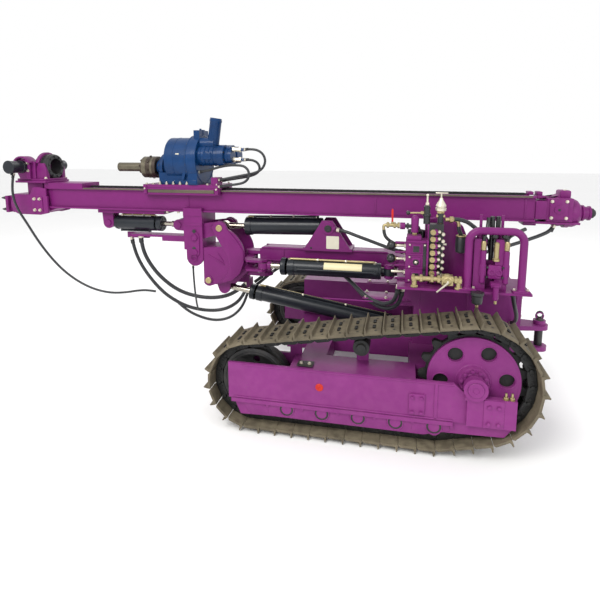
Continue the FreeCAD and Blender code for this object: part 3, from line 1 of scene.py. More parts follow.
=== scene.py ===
"""Looks of a crawler drilling rig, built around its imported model.

Each sub-assembly is a class that holds its own sizes, builds its meshes and dresses the frame's nodes.
Lengths are in metres in the rig's frame: +X forward, +Y to the rig's left, +Z up, the ground at Z = 0.
"""

import json
import logging
import math
from dataclasses import dataclass, field
from enum import Enum
from itertools import product
from typing import Iterable, Sequence

import bmesh
import bpy
from mathutils import Matrix, Vector

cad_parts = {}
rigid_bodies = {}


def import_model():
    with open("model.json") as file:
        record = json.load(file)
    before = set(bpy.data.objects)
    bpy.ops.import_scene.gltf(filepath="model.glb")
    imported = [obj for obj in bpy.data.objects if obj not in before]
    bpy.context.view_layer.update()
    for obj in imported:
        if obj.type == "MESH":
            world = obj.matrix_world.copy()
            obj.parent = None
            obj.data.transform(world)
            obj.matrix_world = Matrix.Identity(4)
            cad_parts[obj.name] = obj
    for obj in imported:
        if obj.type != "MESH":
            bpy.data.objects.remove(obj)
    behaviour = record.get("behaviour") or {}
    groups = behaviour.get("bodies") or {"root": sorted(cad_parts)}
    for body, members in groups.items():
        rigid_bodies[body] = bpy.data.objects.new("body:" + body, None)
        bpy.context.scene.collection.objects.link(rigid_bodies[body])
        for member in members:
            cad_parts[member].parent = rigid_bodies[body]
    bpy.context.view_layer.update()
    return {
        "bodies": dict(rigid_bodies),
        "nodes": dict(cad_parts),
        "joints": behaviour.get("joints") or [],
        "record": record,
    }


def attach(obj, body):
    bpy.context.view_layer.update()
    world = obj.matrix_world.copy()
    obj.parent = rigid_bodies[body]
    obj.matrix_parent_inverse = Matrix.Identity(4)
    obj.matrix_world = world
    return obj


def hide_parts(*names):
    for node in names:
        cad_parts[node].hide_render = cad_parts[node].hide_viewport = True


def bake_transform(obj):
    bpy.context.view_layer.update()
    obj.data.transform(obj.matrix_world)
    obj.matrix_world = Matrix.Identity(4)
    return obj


LOG = logging.getLogger("drilling_rig")
Point = tuple[float, float, float]
Colour = tuple[float, float, float]
Outline = Sequence[tuple[float, float]]
AHEAD, LEFT, UP = (1, 0, 0), (0, 1, 0), (0, 0, 1)
BACK, DOWN = (-1, 0, 0), (0, 0, -1)
SIDES = (-1, 1)
TURN = 2 * math.pi
SHARP_FROM = math.radians(32)
ROUNDED_FROM = 0.6
HOSE_STEPS, PIPE_STEPS = 8, 6

# A bolt's proportions in widths over its flats, and a crimped sleeve's outline in hose diameters
WASHER_HIGH, WASHER_RADIUS = 0.12, 0.72
HEAD_RADIUS, HEAD_BEVEL = 0.577, 0.05
THREAD_RADIUS, THREAD_BEVEL = 0.3, 0.03
SLEEVE = ((0, 0), (0, 0.5), (0.05, 0.6), (0.5, 0.6), (0.56, 0.55), (0.66, 0.6), (1.2, 0.6), (1.3, 0.53),
          (1.3, 0))


# Shader node groups

class SocketKind(Enum):
    """The kinds of socket that a shared group shows."""

    NUMBER = "NodeSocketFloat"
    COLOUR = "NodeSocketColor"


@dataclass
class NodeGraph:
    """Adds nodes and links to one node tree."""

    tree: bpy.types.NodeTree

    def node(self, kind: str, **settings: object) -> bpy.types.Node:
        """Add a node and set its properties.

        Args:
            kind: Blender's name of the node.
            settings: the properties to set.

        Returns:
            The node.
        """
        made = self.tree.nodes.new(kind)
        for key, value in settings.items():
            setattr(made, key, value)
        return made

    def link(self, source: bpy.types.NodeSocket, target: bpy.types.NodeSocket) -> None:
        """Join two sockets."""
        self.tree.links.new(source, target)

    def feed(self, value: object, target: bpy.types.NodeSocket) -> None:
        """Link a socket to the target, or set the target's own value.

        Args:
            value: a socket, or a value for the target itself.
            target: the socket that takes it.
        """
        if isinstance(value, bpy.types.NodeSocket):
            self.link(value, target)
        else:
            target.default_value = value

    def math(self, operation: str, *values: object, clamp: bool = False) -> bpy.types.NodeSocket:
        """Add a math node.

        Args:
            operation: Blender's name of the operation.
            values: sockets or numbers.
            clamp: whether the result stays between 0 and 1.

        Returns:
            The result's socket.
        """
        made = self.node("ShaderNodeMath", operation=operation, use_clamp=clamp)
        for index, value in enumerate(values):
            self.feed(value, made.inputs[index])
        return made.outputs[0]

    def noise(self, place: bpy.types.NodeSocket, scale: float, detail: float) -> bpy.types.NodeSocket:
        """Add a noise texture and return its value between about 0.3 and 0.7.

        Args:
            place: the coordinates' socket.
            scale: how fine the noise is.
            detail: how many layers it has.

        Returns:
            The value's socket.
        """
        made = self.node("ShaderNodeTexNoise")
        self.link(place, made.inputs["Vector"])
        made.inputs["Scale"].default_value = scale
        made.inputs["Detail"].default_value = detail
        return made.outputs["Fac"]

    def span(self, value: object, low: float, high: float, first: float = 0.0,
             last: float = 1.0) -> bpy.types.NodeSocket:
        """Map a value from low..high to first..last, held at both ends.

        Args:
            value: a socket or a number.
            low: the value that gives the first result.
            high: the value that gives the last.
            first: the first result.
            last: the last result.

        Returns:
            The result's socket.
        """
        made = self.node("ShaderNodeMapRange", clamp=True)
        self.feed(value, made.inputs["Value"])
        for name, number in (("From Min", low), ("From Max", high), ("To Min", first), ("To Max", last)):
            made.inputs[name].default_value = number
        return made.outputs["Result"]

    def mix(self, share: object, first: object, second: object) -> bpy.types.NodeSocket:
        """Mix two colours and return the result's socket.

        Args:
            share: how much of the second colour shows.
            first: the first colour.
            second: the second colour.

        Returns:
            The result's socket.
        """
        made = self.node("ShaderNodeMix", data_type="RGBA")
        self.feed(share, made.inputs["Factor"])
        self.feed(first, made.inputs[6])
        self.feed(second, made.inputs[7])
        return made.outputs[2]


class SharedGroup(NodeGraph):
    """A shader node group with named inputs and outputs."""

    def __init__(self, name: str) -> None:
        """Make the empty group with its input and output nodes.

        Args:
            name: the group's name.
        """
        super().__init__(bpy.data.node_groups.new(name, "ShaderNodeTree"))
        self.inputs = self.tree.nodes.new("NodeGroupInput")
        self.outputs = self.tree.nodes.new("NodeGroupOutput")

    def input(self, name: str, kind: SocketKind, value: object = None) -> bpy.types.NodeSocket:
        """Add an input socket with its default and return the socket inside the group.

        Args:
            name: the socket's name.
            kind: its kind.
            value: its default.

        Returns:
            The socket inside the group.
        """
        socket = self.tree.interface.new_socket(name=name, in_out="INPUT", socket_type=kind.value)
        if value is not None:
            socket.default_value = value
        return self.inputs.outputs[name]

    def output(self, name: str, kind: SocketKind, source: bpy.types.NodeSocket) -> None:
        """Add an output socket fed by a socket inside the group."""
        self.tree.interface.new_socket(name=name, in_out="OUTPUT", socket_type=kind.value)
        self.link(source, self.outputs.inputs[name])


@dataclass(frozen=True)
class WearGroup:
    """Mottling, dust and chips, shared by every painted and bare surface."""

    name: str = "wear"
    low_dust_from: float = 0.95
    low_dust_to: float = 0.05
    broad_scale: float = 2.3
    fine_scale: float = 19.0
    speck_scale: float = 85.0
    peel_scale: float = 240.0

    def build(self) -> bpy.types.NodeTree:
        """Make the group.

        Returns:
            The node group, which puts out a colour, a roughness and a height.
        """
        group = SharedGroup(self.name)
        base, dust_colour, chip_colour = (
            group.input(name, SocketKind.COLOUR, (*colour, 1)) for name, colour in (("Base", (0.3, 0.3, 0.3)),
            ("Dust Colour", (0.3, 0.26, 0.2)), ("Chip Colour", (0.1, 0.09, 0.08))))
        mottle, dust, chips, rough, grain = (
            group.input(name, SocketKind.NUMBER, number) for name, number in (("Mottle", 0.2), ("Dust", 0.3),
            ("Chips", 0.3), ("Roughness", 0.4), ("Grain", 1.0)))
        place = group.node("ShaderNodeTexCoord")
        spot = place.outputs["Object"]
        broad = group.noise(spot, self.broad_scale, 5.0)
        fine = group.noise(spot, self.fine_scale, 6.0)
        shade = group.node("ShaderNodeHueSaturation")
        wide = group.span(broad, 0.32, 0.68, -0.5, 0.5)
        narrow = group.span(fine, 0.3, 0.7, -0.25, 0.25)
        value = group.math("MULTIPLY_ADD", group.math("ADD", wide, narrow), mottle, 1.0)
        group.link(value, shade.inputs["Value"])
        group.link(base, shade.inputs["Color"])
        facing = group.node("ShaderNodeSeparateXYZ")
        group.link(place.outputs["Normal"], facing.inputs[0])
        height = group.node("ShaderNodeSeparateXYZ")
        group.link(spot, height.inputs[0])
        upward = group.span(facing.outputs["Z"], 0.35, 1.0, 0.0, 0.75)
        low = group.span(height.outputs["Z"], self.low_dust_from, self.low_dust_to, 0.0, 0.6)
        patch = group.span(fine, 0.4, 0.66)
        settled = group.math("MULTIPLY", group.math("ADD", upward, low), group.math("ADD", patch, 0.35))
        dust_mask = group.math("MULTIPLY", settled, dust, clamp=True)
        specks = group.span(group.noise(spot, self.speck_scale, 8.0), 0.655, 0.7)
        where = group.span(broad, 0.46, 0.6)
        chip_mask = group.math("MULTIPLY", group.math("MULTIPLY", specks, where), chips, clamp=True)
        dusty = group.mix(dust_mask, shade.outputs[0], dust_colour)
        group.output("Colour", SocketKind.COLOUR, group.mix(chip_mask, dusty, chip_colour))
        dull = group.math("MULTIPLY_ADD", dust_mask, 0.4, rough)
        streaky = group.math("MULTIPLY_ADD", narrow, 0.22, dull)
        group.output(
            "Roughness", SocketKind.NUMBER, group.math("MULTIPLY_ADD", chip_mask, 0.3, streaky, clamp=True))
        peel = group.math("MULTIPLY", group.noise(spot, self.peel_scale, 2.0), grain)
        group.output("Height", SocketKind.NUMBER, group.math("SUBTRACT", peel, chip_mask))
        return group.tree


@dataclass(frozen=True)
class Finish:
    """One surface finish: its colours, its wear and its gloss."""

    name: str
    slot: str
    base: Colour
    roughness: float = 0.4
    metallic: float = 0.0
    dust_colour: Colour = (0.36, 0.3, 0.22)
    chip_colour: Colour = (0.1, 0.085, 0.075)
    mottle: float = 0.2
    dust: float = 0.3
    chips: float = 0.4
    grain: float = 1.0
    bump: float = 0.25
    coat: float = 0.0
    sheen: float = 0.0
    specular: float = 0.5
    bump_distance: float = 0.0012
    coat_roughness: float = 0.12

    def build(self, group: bpy.types.NodeTree) -> bpy.types.Material:
        """Make the material.

        Args:
            group: the shared wear group.

        Returns:
            The finished material.
        """
        material = bpy.data.materials.new(self.name)
        material.use_nodes = True
        graph = NodeGraph(material.node_tree)
        shader = material.node_tree.nodes["Principled BSDF"]
        wear = graph.node("ShaderNodeGroup", node_tree=group)
        bump = graph.node("ShaderNodeBump")
        for node, name, value in (
                (wear, "Base", (*self.base, 1)), (wear, "Dust Colour", (*self.dust_colour, 1)),
                (wear, "Chip Colour", (*self.chip_colour, 1)), (wear, "Mottle", self.mottle),
                (wear, "Dust", self.dust), (wear, "Chips", self.chips), (wear, "Roughness", self.roughness),
                (wear, "Grain", self.grain),
                (bump, "Strength", self.bump), (bump, "Distance", self.bump_distance),
                (bump, "Height", wear.outputs["Height"]), (shader, "Base Color", wear.outputs["Colour"]),
                (shader, "Roughness", wear.outputs["Roughness"]), (shader, "Normal", bump.outputs["Normal"]),
                (shader, "Metallic", self.metallic), (shader, "Coat Weight", self.coat),
                (shader, "Coat Roughness", self.coat_roughness), (shader, "Sheen Weight", self.sheen),
                (shader, "Specular IOR Level", self.specular)):
            graph.feed(value, node.inputs[name])
        return material


class Surface(Enum):
    """The rig's finishes."""

    PURPLE = Finish(
        "purple enamel", "purple_paint", (0.15, 0.012, 0.12), 0.42, coat=0.07, mottle=0.16, dust=0.03,
        chips=0.25, specular=0.2)
    PURPLE_LOW = Finish(
        "purple enamel of the crawler", "purple_paint", (0.2, 0.024, 0.165), 0.44, coat=0.06, mottle=0.18,
        dust=0.05, chips=0.5, specular=0.2)
    BLUE = Finish(
        "blue enamel", "blue_paint", (0.002, 0.032, 0.116), 0.42, coat=0.2, mottle=0.4, dust=0.02, chips=0.2,
        grain=1.4, bump=0.3, specular=0.15)
    BLACK = Finish(
        "black cylinder enamel", "black_paint", (0.011, 0.014, 0.019), 0.34, coat=0.12, mottle=0.4, dust=0.03,
        chips=0.2, dust_colour=(0.1, 0.1, 0.1), specular=0.28)
    COUPLING = Finish(
        "browned steel", "dark_steel", (0.04, 0.026, 0.018), 0.4, metallic=0.35, mottle=0.5, dust=0.08,
        chips=0.5, chip_colour=(0.12, 0.09, 0.06), grain=1.4)
    CHROME = Finish(
        "ground chrome", "polished_rod", (0.4, 0.37, 0.31), 0.2, metallic=1.0, mottle=0.1, dust=0.05,
        chips=0.0, grain=0.1, bump=0.05)
    TRACK = Finish(
        "worn shoe steel", "track_steel", (0.12, 0.1, 0.068), 0.6, metallic=0.15, mottle=0.7, dust=0.5,
        chips=0.8, dust_colour=(0.2, 0.172, 0.115), chip_colour=(0.04, 0.034, 0.026), grain=2.5, bump=0.7,
        specular=0.3)
    CHAIN = Finish(
        "dark chain steel", "track_steel", (0.014, 0.015, 0.016), 0.5, metallic=0.2, mottle=0.6, dust=0.25,
        chips=0.6, dust_colour=(0.07, 0.062, 0.045), grain=2.0, bump=0.5, specular=0.35)
    DARK = Finish(
        "oily dark steel", "dark_steel", (0.03, 0.031, 0.033), 0.42, metallic=0.5, mottle=0.5, dust=0.1,
        chips=0.5, chip_colour=(0.16, 0.15, 0.13), grain=1.6, bump=0.4)
    RUBBER = Finish(
        "hose rubber", "rubber", (0.01, 0.012, 0.015), 0.42, mottle=0.3, dust=0.08, chips=0.0,
        dust_colour=(0.12, 0.11, 0.1), grain=2.2, bump=0.3, sheen=0.1)
    OLIVE = Finish(
        "oily olive steel", "dark_steel", (0.125, 0.11, 0.078), 0.36, metallic=0.7, mottle=0.4, dust=0.1,
        chips=0.4, grain=0.8)
    BRASS = Finish(
        "dull brass", "brass", (0.4, 0.33, 0.17), 0.36, metallic=0.8, mottle=0.4, dust=0.1, chips=0.5,
        chip_colour=(0.25, 0.19, 0.09), grain=0.8)
    ZINC = Finish(
        "pale zinc", "polished_rod", (0.6, 0.56, 0.46), 0.34, metallic=0.7, mottle=0.3, dust=0.08, chips=0.3,
        grain=0.6)
    PLATE = Finish(
        "bare label plate", "polished_rod", (0.62, 0.59, 0.48), 0.45, metallic=0.15, mottle=0.12, dust=0.05,
        chips=0.15, grain=0.3)
    LABEL = Finish(
        "bare pale-yellow plate", "polished_rod", (0.68, 0.61, 0.36), 0.4, mottle=0.08, dust=0.05, chips=0.1,
        grain=0.3)
    RED = Finish(
        "red enamel", "brass", (0.46, 0.016, 0.009), 0.4, coat=0.1, specular=0.25, mottle=0.15, dust=0.04)
    KNOB = Finish(
        "black plastic", "rubber", (0.012, 0.013, 0.014), 0.28, mottle=0.2, dust=0.04, chips=0.0, grain=0.3)


@dataclass
class Paints:
    """Every finish's material, made when it is first asked for, over the shared wear group."""

    wear: WearGroup = field(default_factory=WearGroup)
    group: bpy.types.NodeTree = None
    made: dict = field(default_factory=dict)

    def get(self, surface: Surface) -> bpy.types.Material:
        """Return the material of a finish.

        Args:
            surface: the finish.

        Returns:
            Its material.
        """
        if self.group is None:
            self.group = self.wear.build()
        if surface not in self.made:
            self.made[surface] = surface.value.build(self.group)
        return self.made[surface]

    def dress(self, surface: Surface, *nodes: str) -> None:
        """Give a finish to nodes of the frame.

        Args:
            surface: the finish.
            nodes: the names of the nodes.
        """
        for node in nodes:
            for slot in FRAME["nodes"][node].material_slots:
                slot.material = self.get(surface)


FRAME: dict = {}
PAINTS = Paints()


# Shapes

def towards(direction: Vector) -> Matrix:
    """The turn that brings +Z to a direction."""
    return direction.to_track_quat("Z", "Y").to_matrix().to_4x4()


def mm(*numbers: float) -> list[tuple[float, float]]:
    """An outline's pairs of lengths in metres, from millimetres in turn."""
    return [(first / 1000, second / 1000) for first, second in zip(numbers[::2], numbers[1::2])]


def drawn(name: str, points: Sequence[Point], radius: float, resolution: int) -> bpy.types.Curve:
    """Draw a smooth curve through some points.

    Args:
        name: the curve's name.
        points: the points that its straight runs meet at.
        radius: the radius of the round bar along it, or 0 for a bare line.
        resolution: how many pieces go between two points.

    Returns:
        The curve.
    """
    curve = bpy.data.curves.new(name, "CURVE")
    curve.dimensions = "3D"
    spline = curve.splines.new("NURBS")
    spline.points.add(len(points) - 1)
    for item, point in zip(spline.points, points):
        item.co = (*point, 1)
    spline.order_u = 3
    spline.use_endpoint_u = True
    curve.resolution_u = spline.resolution_u = resolution
    if radius:
        curve.bevel_depth = radius
        curve.bevel_resolution = 4
        curve.use_fill_caps = True
    return curve


def mesh_of(curve: bpy.types.Curve) -> bpy.types.Mesh:
    """Turn a curve into a mesh and remove the curve.

    Args:
        curve: the curve.

    Returns:
        The mesh.
    """
    holder = bpy.data.objects.new(curve.name, curve)
    mesh = bpy.data.meshes.new_from_object(holder)
    bpy.data.objects.remove(holder)
    bpy.data.curves.remove(curve)
    return mesh


@dataclass
class Form:
    """The shapes of one piece, gathered in one mesh."""

    name: str
    first: Surface = None
    mesh: bmesh.types.BMesh = field(default_factory=bmesh.new)
    surfaces: list = field(default_factory=list)
    current: int = 0

    def __post_init__(self) -> None:
        """Add the layer that marks the faces whose finish is set, and choose the first finish."""
        self.settled = self.mesh.faces.layers.int.new("settled")
        if self.first:
            self.paint(self.first)

    def paint(self, surface: Surface) -> None:
        """Give a finish to every shape that is added from here on.

        Args:
            surface: the finish.
        """
        self._settle()
        if surface not in self.surfaces:
            self.surfaces.append(surface)
        self.current = self.surfaces.index(surface)

    def _settle(self) -> None:
        """Give the current finish to the faces that were added since it was chosen."""
        for face in self.mesh.faces:
            if not face[self.settled]:
                face.material_index = self.current
                face[self.settled] = 1

    def _bevel(self, verts: Iterable[bmesh.types.BMVert], bevel: float, caps: bool = False) -> None:
        """Round the sharp edges at some vertices, or only those of a bar's end faces.

        Args:
            verts: the vertices.
            bevel: the radius, or 0 for none.
            caps: whether only end faces are rounded.
        """
        if bevel <= 0:
            return
        edges = {edge for vert in verts for edge in vert.link_edges}
        if caps:
            edges = [edge for edge in edges if len(edge.link_faces) == 2
                     and max(len(face.verts) for face in edge.link_faces) > 4]
        else:
            edges = [edge for edge in edges if edge.calc_face_angle(0) > ROUNDED_FROM]
        bmesh.ops.bevel(self.mesh, geom=edges, offset=bevel, offset_type="OFFSET", segments=2, profile=0.5,
                        affect="EDGES", material=-1)

    def _spin(self, geom: list, centre: Vector, axis: Vector, steps: int) -> None:
        """Turn vertices and edges all the way round an axis."""
        bmesh.ops.spin(self.mesh, geom=geom, cent=centre, axis=axis, dvec=(0, 0, 0), angle=TURN, steps=steps,
                       use_merge=True, use_duplicate=False)

    def box(self, low: Point, high: Point, bevel: float = 0.0, turn: Matrix = None) -> None:
        """Add a box.

        Args:
            low: its lowest corner.
            high: its highest corner.
            bevel: the radius of its rounded edges.
            turn: a matrix that turns it about its middle.
        """
        low, high = Vector(low), Vector(high)
        place = Matrix.Translation((low + high) / 2) @ (turn or Matrix.Identity(4))
        size = Matrix.Diagonal((*(high - low), 1))
        made = bmesh.ops.create_cube(self.mesh, size=1, matrix=place @ size)
        self._bevel(made["verts"], bevel)

    def bar(self, start: Point, end: Point, radius: float, sides: int = 24, bevel: float = 0.0) -> None:
        """Add a round bar between two points.

        Args:
            start: the middle of its first end.
            end: the middle of its other end.
            radius: its radius.
            sides: how many faces go round it.
            bevel: the radius of its rounded end edges.
        """
        start, end = Vector(start), Vector(end)
        span = end - start
        place = Matrix.Translation((start + end) / 2) @ towards(span)
        made = bmesh.ops.create_cone(
            self.mesh, cap_ends=True, segments=sides, radius1=radius, radius2=radius, depth=span.length,
            matrix=place)
        self._bevel(made["verts"], bevel, caps=True)

    def ball(self, centre: Point, radius: float, rings: int = 12) -> None:
        """Add a ball."""
        bmesh.ops.create_uvsphere(
            self.mesh, u_segments=2 * rings, v_segments=rings, radius=radius,
            matrix=Matrix.Translation(centre))

    def ring(self, centre: Point, axis: Point, radius: float, thick: float, steps: int,
             sides: int = 6) -> None:
        """Add a round ring.

        Args:
            centre: the ring's middle.
            axis: the direction that it turns about.
            radius: from the middle to the bar's middle.
            thick: the bar's radius.
            steps: how many pieces go along the ring.
            sides: how many faces go round the bar.
        """
        axis, centre = Vector(axis).normalized(), Vector(centre)
        out = axis.orthogonal().normalized()
        place = Matrix.Translation(centre + out * radius) @ towards(axis.cross(out))
        made = bmesh.ops.create_circle(self.mesh, cap_ends=False, segments=sides, radius=thick, matrix=place)
        edges = list({edge for vert in made["verts"] for edge in vert.link_edges})
        self._spin(made["verts"] + edges, centre, axis, steps)

    def lathe(self, start: Point, axis: Point, profile: Outline, steps: int) -> None:
        """Add a turned shape.

        Args:
            start: the point on its axis that distances are counted from.
            axis: the direction of its axis.
            profile: its outline as (distance along the axis, radius) pairs, from one end to the other.
            steps: how many faces go round it.
        """
        axis, start = Vector(axis).normalized(), Vector(start)
        out = axis.orthogonal().normalized()
        verts = [self.mesh.verts.new(start + axis * along + out * radius) for along, radius in profile]
        edges = [self.mesh.edges.new(pair) for pair in zip(verts, verts[1:])]
        self._spin(verts + edges, start, axis, steps)
        near = [vert for vert in self.mesh.verts if (vert.co - start).cross(axis).length < 1e-6]
        bmesh.ops.remove_doubles(self.mesh, verts=near, dist=1e-6)

    def prism(self, corners: Outline, low: float, high: float, bevel: float = 0.0, plane: str = "XZ") -> None:
        """Add a plate with a drawn outline.

        Args:
            corners: the outline's corners in the plane.
            low: where the plate starts across the plane.
            high: where it ends.
            bevel: the radius of its rounded edges.
            plane: the two axes that the outline lies in.
        """
        order = {"XZ": (0, 2, 1), "XY": (0, 1, 2), "YZ": (1, 2, 0)}[plane]
        verts = []
        for corner in corners:
            spot = [0.0, 0.0, 0.0]
            spot[order[0]], spot[order[1]], spot[order[2]] = corner[0], corner[1], low
            verts.append(self.mesh.verts.new(spot))
        face = self.mesh.faces.new(verts)
        made = bmesh.ops.extrude_face_region(self.mesh, geom=[face])
        moved = [item for item in made["geom"] if isinstance(item, bmesh.types.BMVert)]
        step = Vector((0, 0, 0))
        step[order[2]] = high - low
        bmesh.ops.translate(self.mesh, verts=moved, vec=step)
        self.mesh.faces.ensure_lookup_table()
        bmesh.ops.recalc_face_normals(self.mesh, faces=list({f for v in verts + moved for f in v.link_faces}))
        self._bevel(verts + moved, bevel)

    def plates(self, corners: Outline, near: float, far: float, bevel: float = 0.0) -> None:
        """Add an upright plate on each side.

        Args:
            corners: the outline's corners in X and Z.
            near: where the plates start, from the rig's middle plane.
            far: where they end.
            bevel: the radius of their rounded edges.
        """
        for side in SIDES:
            self.prism(corners, *sorted((side * near, side * far)), bevel=bevel)

    def boxes(self, low: Point, high: Point, bevel: float = 0.0) -> None:
        """Add a box on each side, whose Y runs from the rig's middle plane outward.

        Args:
            low: the left box's lowest corner.
            high: its highest corner.
            bevel: the radius of its rounded edges.
        """
        for side in SIDES:
            near, far = sorted((side * low[1], side * high[1]))
            self.box((low[0], near, low[2]), (high[0], far, high[2]), bevel)

    def bolt(self, seat: Point, axis: Point, across: float, high: float, washer: bool = True,
             thread: float = 0.0) -> None:
        """Add a hexagon bolt head.

        Args:
            seat: the point on the surface that it sits on.
            axis: the direction away from the surface.
            across: the head's width over its flats.
            high: the head's height.
            washer: whether a washer lies under it.
            thread: how far a threaded end stands out past the head.
        """
        seat, axis = Vector(seat), Vector(axis).normalized()
        base = 0.0
        if washer:
            base = WASHER_HIGH * across
            self.bar(seat - axis * 0.001, seat + axis * base, WASHER_RADIUS * across, 16)
        seat += axis * base
        self.bar(seat, seat + axis * high, HEAD_RADIUS * across, 6, HEAD_BEVEL * across)
        if thread > 0:
            self.bar(seat, seat + axis * (high + thread), THREAD_RADIUS * across, 12, THREAD_BEVEL * across)

    def bolts(self, seats: Iterable[Point], axis: Point, across: float, high: float, washer: bool = True,
              thread: float = 0.0) -> None:
        """Add a hexagon bolt head at each of some seats."""
        for seat in seats:
            self.bolt(seat, axis, across, high, washer, thread)

    def side_bolts(self, seats: Iterable[Point], across: float, high: float, washer: bool = True) -> None:
        """Add bolt heads that face outward on both sides, at seats given for the left."""
        for (x, y, z), side in product(seats, SIDES):
            self.bolt((x, side * y, z), (0, side, 0), across, high, washer)

    def pipe(self, points: Sequence[Point], radius: float) -> None:
        """Add a smoothly bent pipe through some points."""
        self.stamp(mesh_of(drawn(self.name + "_pipe", points, radius, PIPE_STEPS)), Matrix.Identity(4))

    def stamp(self, mesh: bpy.types.Mesh, place: Matrix) -> None:
        """Add a copy of a finished mesh at a place, with its own finishes.

        Args:
            mesh: the mesh.
            place: where its copy goes.
        """
        copy = mesh.copy()
        copy.transform(place)
        if place.determinant() < 0:
            copy.flip_normals()
        self.mesh.from_mesh(copy)
        bpy.data.meshes.remove(copy)

    def adopt(self, surfaces: Sequence[Surface]) -> None:
        """Keep the finishes that stamped meshes brought, in this order.

        Args:
            surfaces: the finishes, by the faces' own numbers.
        """
        self.surfaces = list(surfaces)
        for face in self.mesh.faces:
            face[self.settled] = 1

    def mirror(self) -> None:
        """Add the mirrored copy on the rig's other side."""
        self._settle()
        before = list(self.mesh.verts) + list(self.mesh.edges) + list(self.mesh.faces)
        made = bmesh.ops.duplicate(self.mesh, geom=before)
        verts = [item for item in made["geom"] if isinstance(item, bmesh.types.BMVert)]
        faces = [item for item in made["geom"] if isinstance(item, bmesh.types.BMFace)]
        bmesh.ops.scale(self.mesh, verts=verts, vec=(1, -1, 1))
        bmesh.ops.reverse_faces(self.mesh, faces=faces)

    def to_mesh(self) -> bpy.types.Mesh:
        """Return the gathered shapes as a mesh with outward faces, and empty the form.

        Returns:
            The mesh.
        """
        self._settle()
        self.mesh.faces.layers.int.remove(self.settled)
        bmesh.ops.recalc_face_normals(self.mesh, faces=self.mesh.faces)
        mesh = bpy.data.meshes.new(self.name)
        self.mesh.to_mesh(mesh)
        self.mesh.free()
        mesh.shade_smooth()
        mesh.set_sharp_from_angle(angle=SHARP_FROM)
        return mesh

    def finish(self, body: str, *replaced: str) -> bpy.types.Object:
        """Turn the form into a piece of the rig.

        Args:
            body: the body that it rides on.
            replaced: the frame's nodes that it stands for.

        Returns:
            The finished piece.
        """
        mesh = self.to_mesh()
        for surface in self.surfaces:
            mesh.materials.append(PAINTS.get(surface))
        piece = bpy.data.objects.new(self.name, mesh)
        bpy.context.scene.collection.objects.link(piece)
        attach(piece, body)
        if replaced:
            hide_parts(*replaced)
        LOG.info("%s: %d faces on %s", self.name, len(mesh.polygons), body)
        return piece


def around(count: int, radius: float, centre: Point, axis: str = "Y", first: float = 0.0) -> list[Vector]:
    """Places on a circle.

    Args:
        count: how many places.
        radius: the circle's radius.
        centre: its middle.
        axis: the axis that it turns about.
        first: the first place's angle.

    Returns:
        The places in order.
    """
    spots = []
    for step in range(count):
        angle = first + TURN * step / count
        across, rise = radius * math.cos(angle), radius * math.sin(angle)
        offset = {"Y": (across, 0, rise), "X": (0, across, rise)}[axis]
        spots.append(Vector(centre) + Vector(offset))
    return spots


def band(centre: tuple[float, float], inner: float, outer: float, first: float, last: float) -> list:
    """An arched strip's outline.

    Args:
        centre: its middle in the drawing plane.
        inner: its inner radius.
        outer: its outer radius.
        first: its first angle in degrees.
        last: its last angle in degrees.

    Returns:
        The corners in turn.
    """
    steps = [math.radians(first + (last - first) * step / 14) for step in range(15)]
    out = [(centre[0] + outer * math.cos(a), centre[1] + outer * math.sin(a)) for a in steps]
    back = [(centre[0] + inner * math.cos(a), centre[1] + inner * math.sin(a)) for a in reversed(steps)]
    return out + back


@dataclass(frozen=True)
class Camera:
    """The camera at the photograph's place, in the photograph's own terms."""

    place: Point = (-1.128, 3.655, 1.88)
    yaw_deg: float = 12.0
    pitch_deg: float = 8.3
    focal_px: float = 465.0
    centre_px: tuple[float, float] = (304.0, 219.0)
    frame_px: float = 600.0
    sensor_mm: float = 36.0

    def build(self) -> bpy.types.Object:
        """Make the camera and set it as the scene's camera.

        Returns:
            The camera.
        """
        data = bpy.data.cameras.new("camera")
        data.sensor_width = self.sensor_mm
        data.lens = self.sensor_mm * self.focal_px / self.frame_px
        half = self.frame_px / 2
        data.shift_x = (half - self.centre_px[0]) / self.frame_px
        data.shift_y = (self.centre_px[1] - half) / self.frame_px
        camera = bpy.data.objects.new("camera", data)
        yaw, pitch = math.radians(self.yaw_deg), math.radians(self.pitch_deg)
        ahead = Vector((math.sin(yaw) * math.cos(pitch), -math.cos(yaw) * math.cos(pitch), -math.sin(pitch)))
        camera.rotation_euler = ahead.to_track_quat("-Z", "Y").to_euler()
        camera.location = self.place
        bpy.context.scene.collection.objects.link(camera)
        bpy.context.scene.camera = camera
        return camera


@dataclass(frozen=True)
class Lamp:
    """One soft box of the studio."""

    name: str
    place: Point
    aim: Point
    size: float
    power: float
    colour: Colour = (1.0, 1.0, 1.0)

    def build(self) -> bpy.types.Object:
        """Make the lamp and turn it to its aim.

        Returns:
            The lamp.
        """
        data = bpy.data.lights.new(self.name, "AREA")
        data.energy = self.power
        data.size = self.size
        data.color = self.colour
        lamp = bpy.data.objects.new(self.name, data)
        lamp.location = self.place
        lamp.rotation_euler = (Vector(self.aim) - Vector(self.place)).to_track_quat("-Z", "Y").to_euler()
        bpy.context.scene.collection.objects.link(lamp)
        return lamp


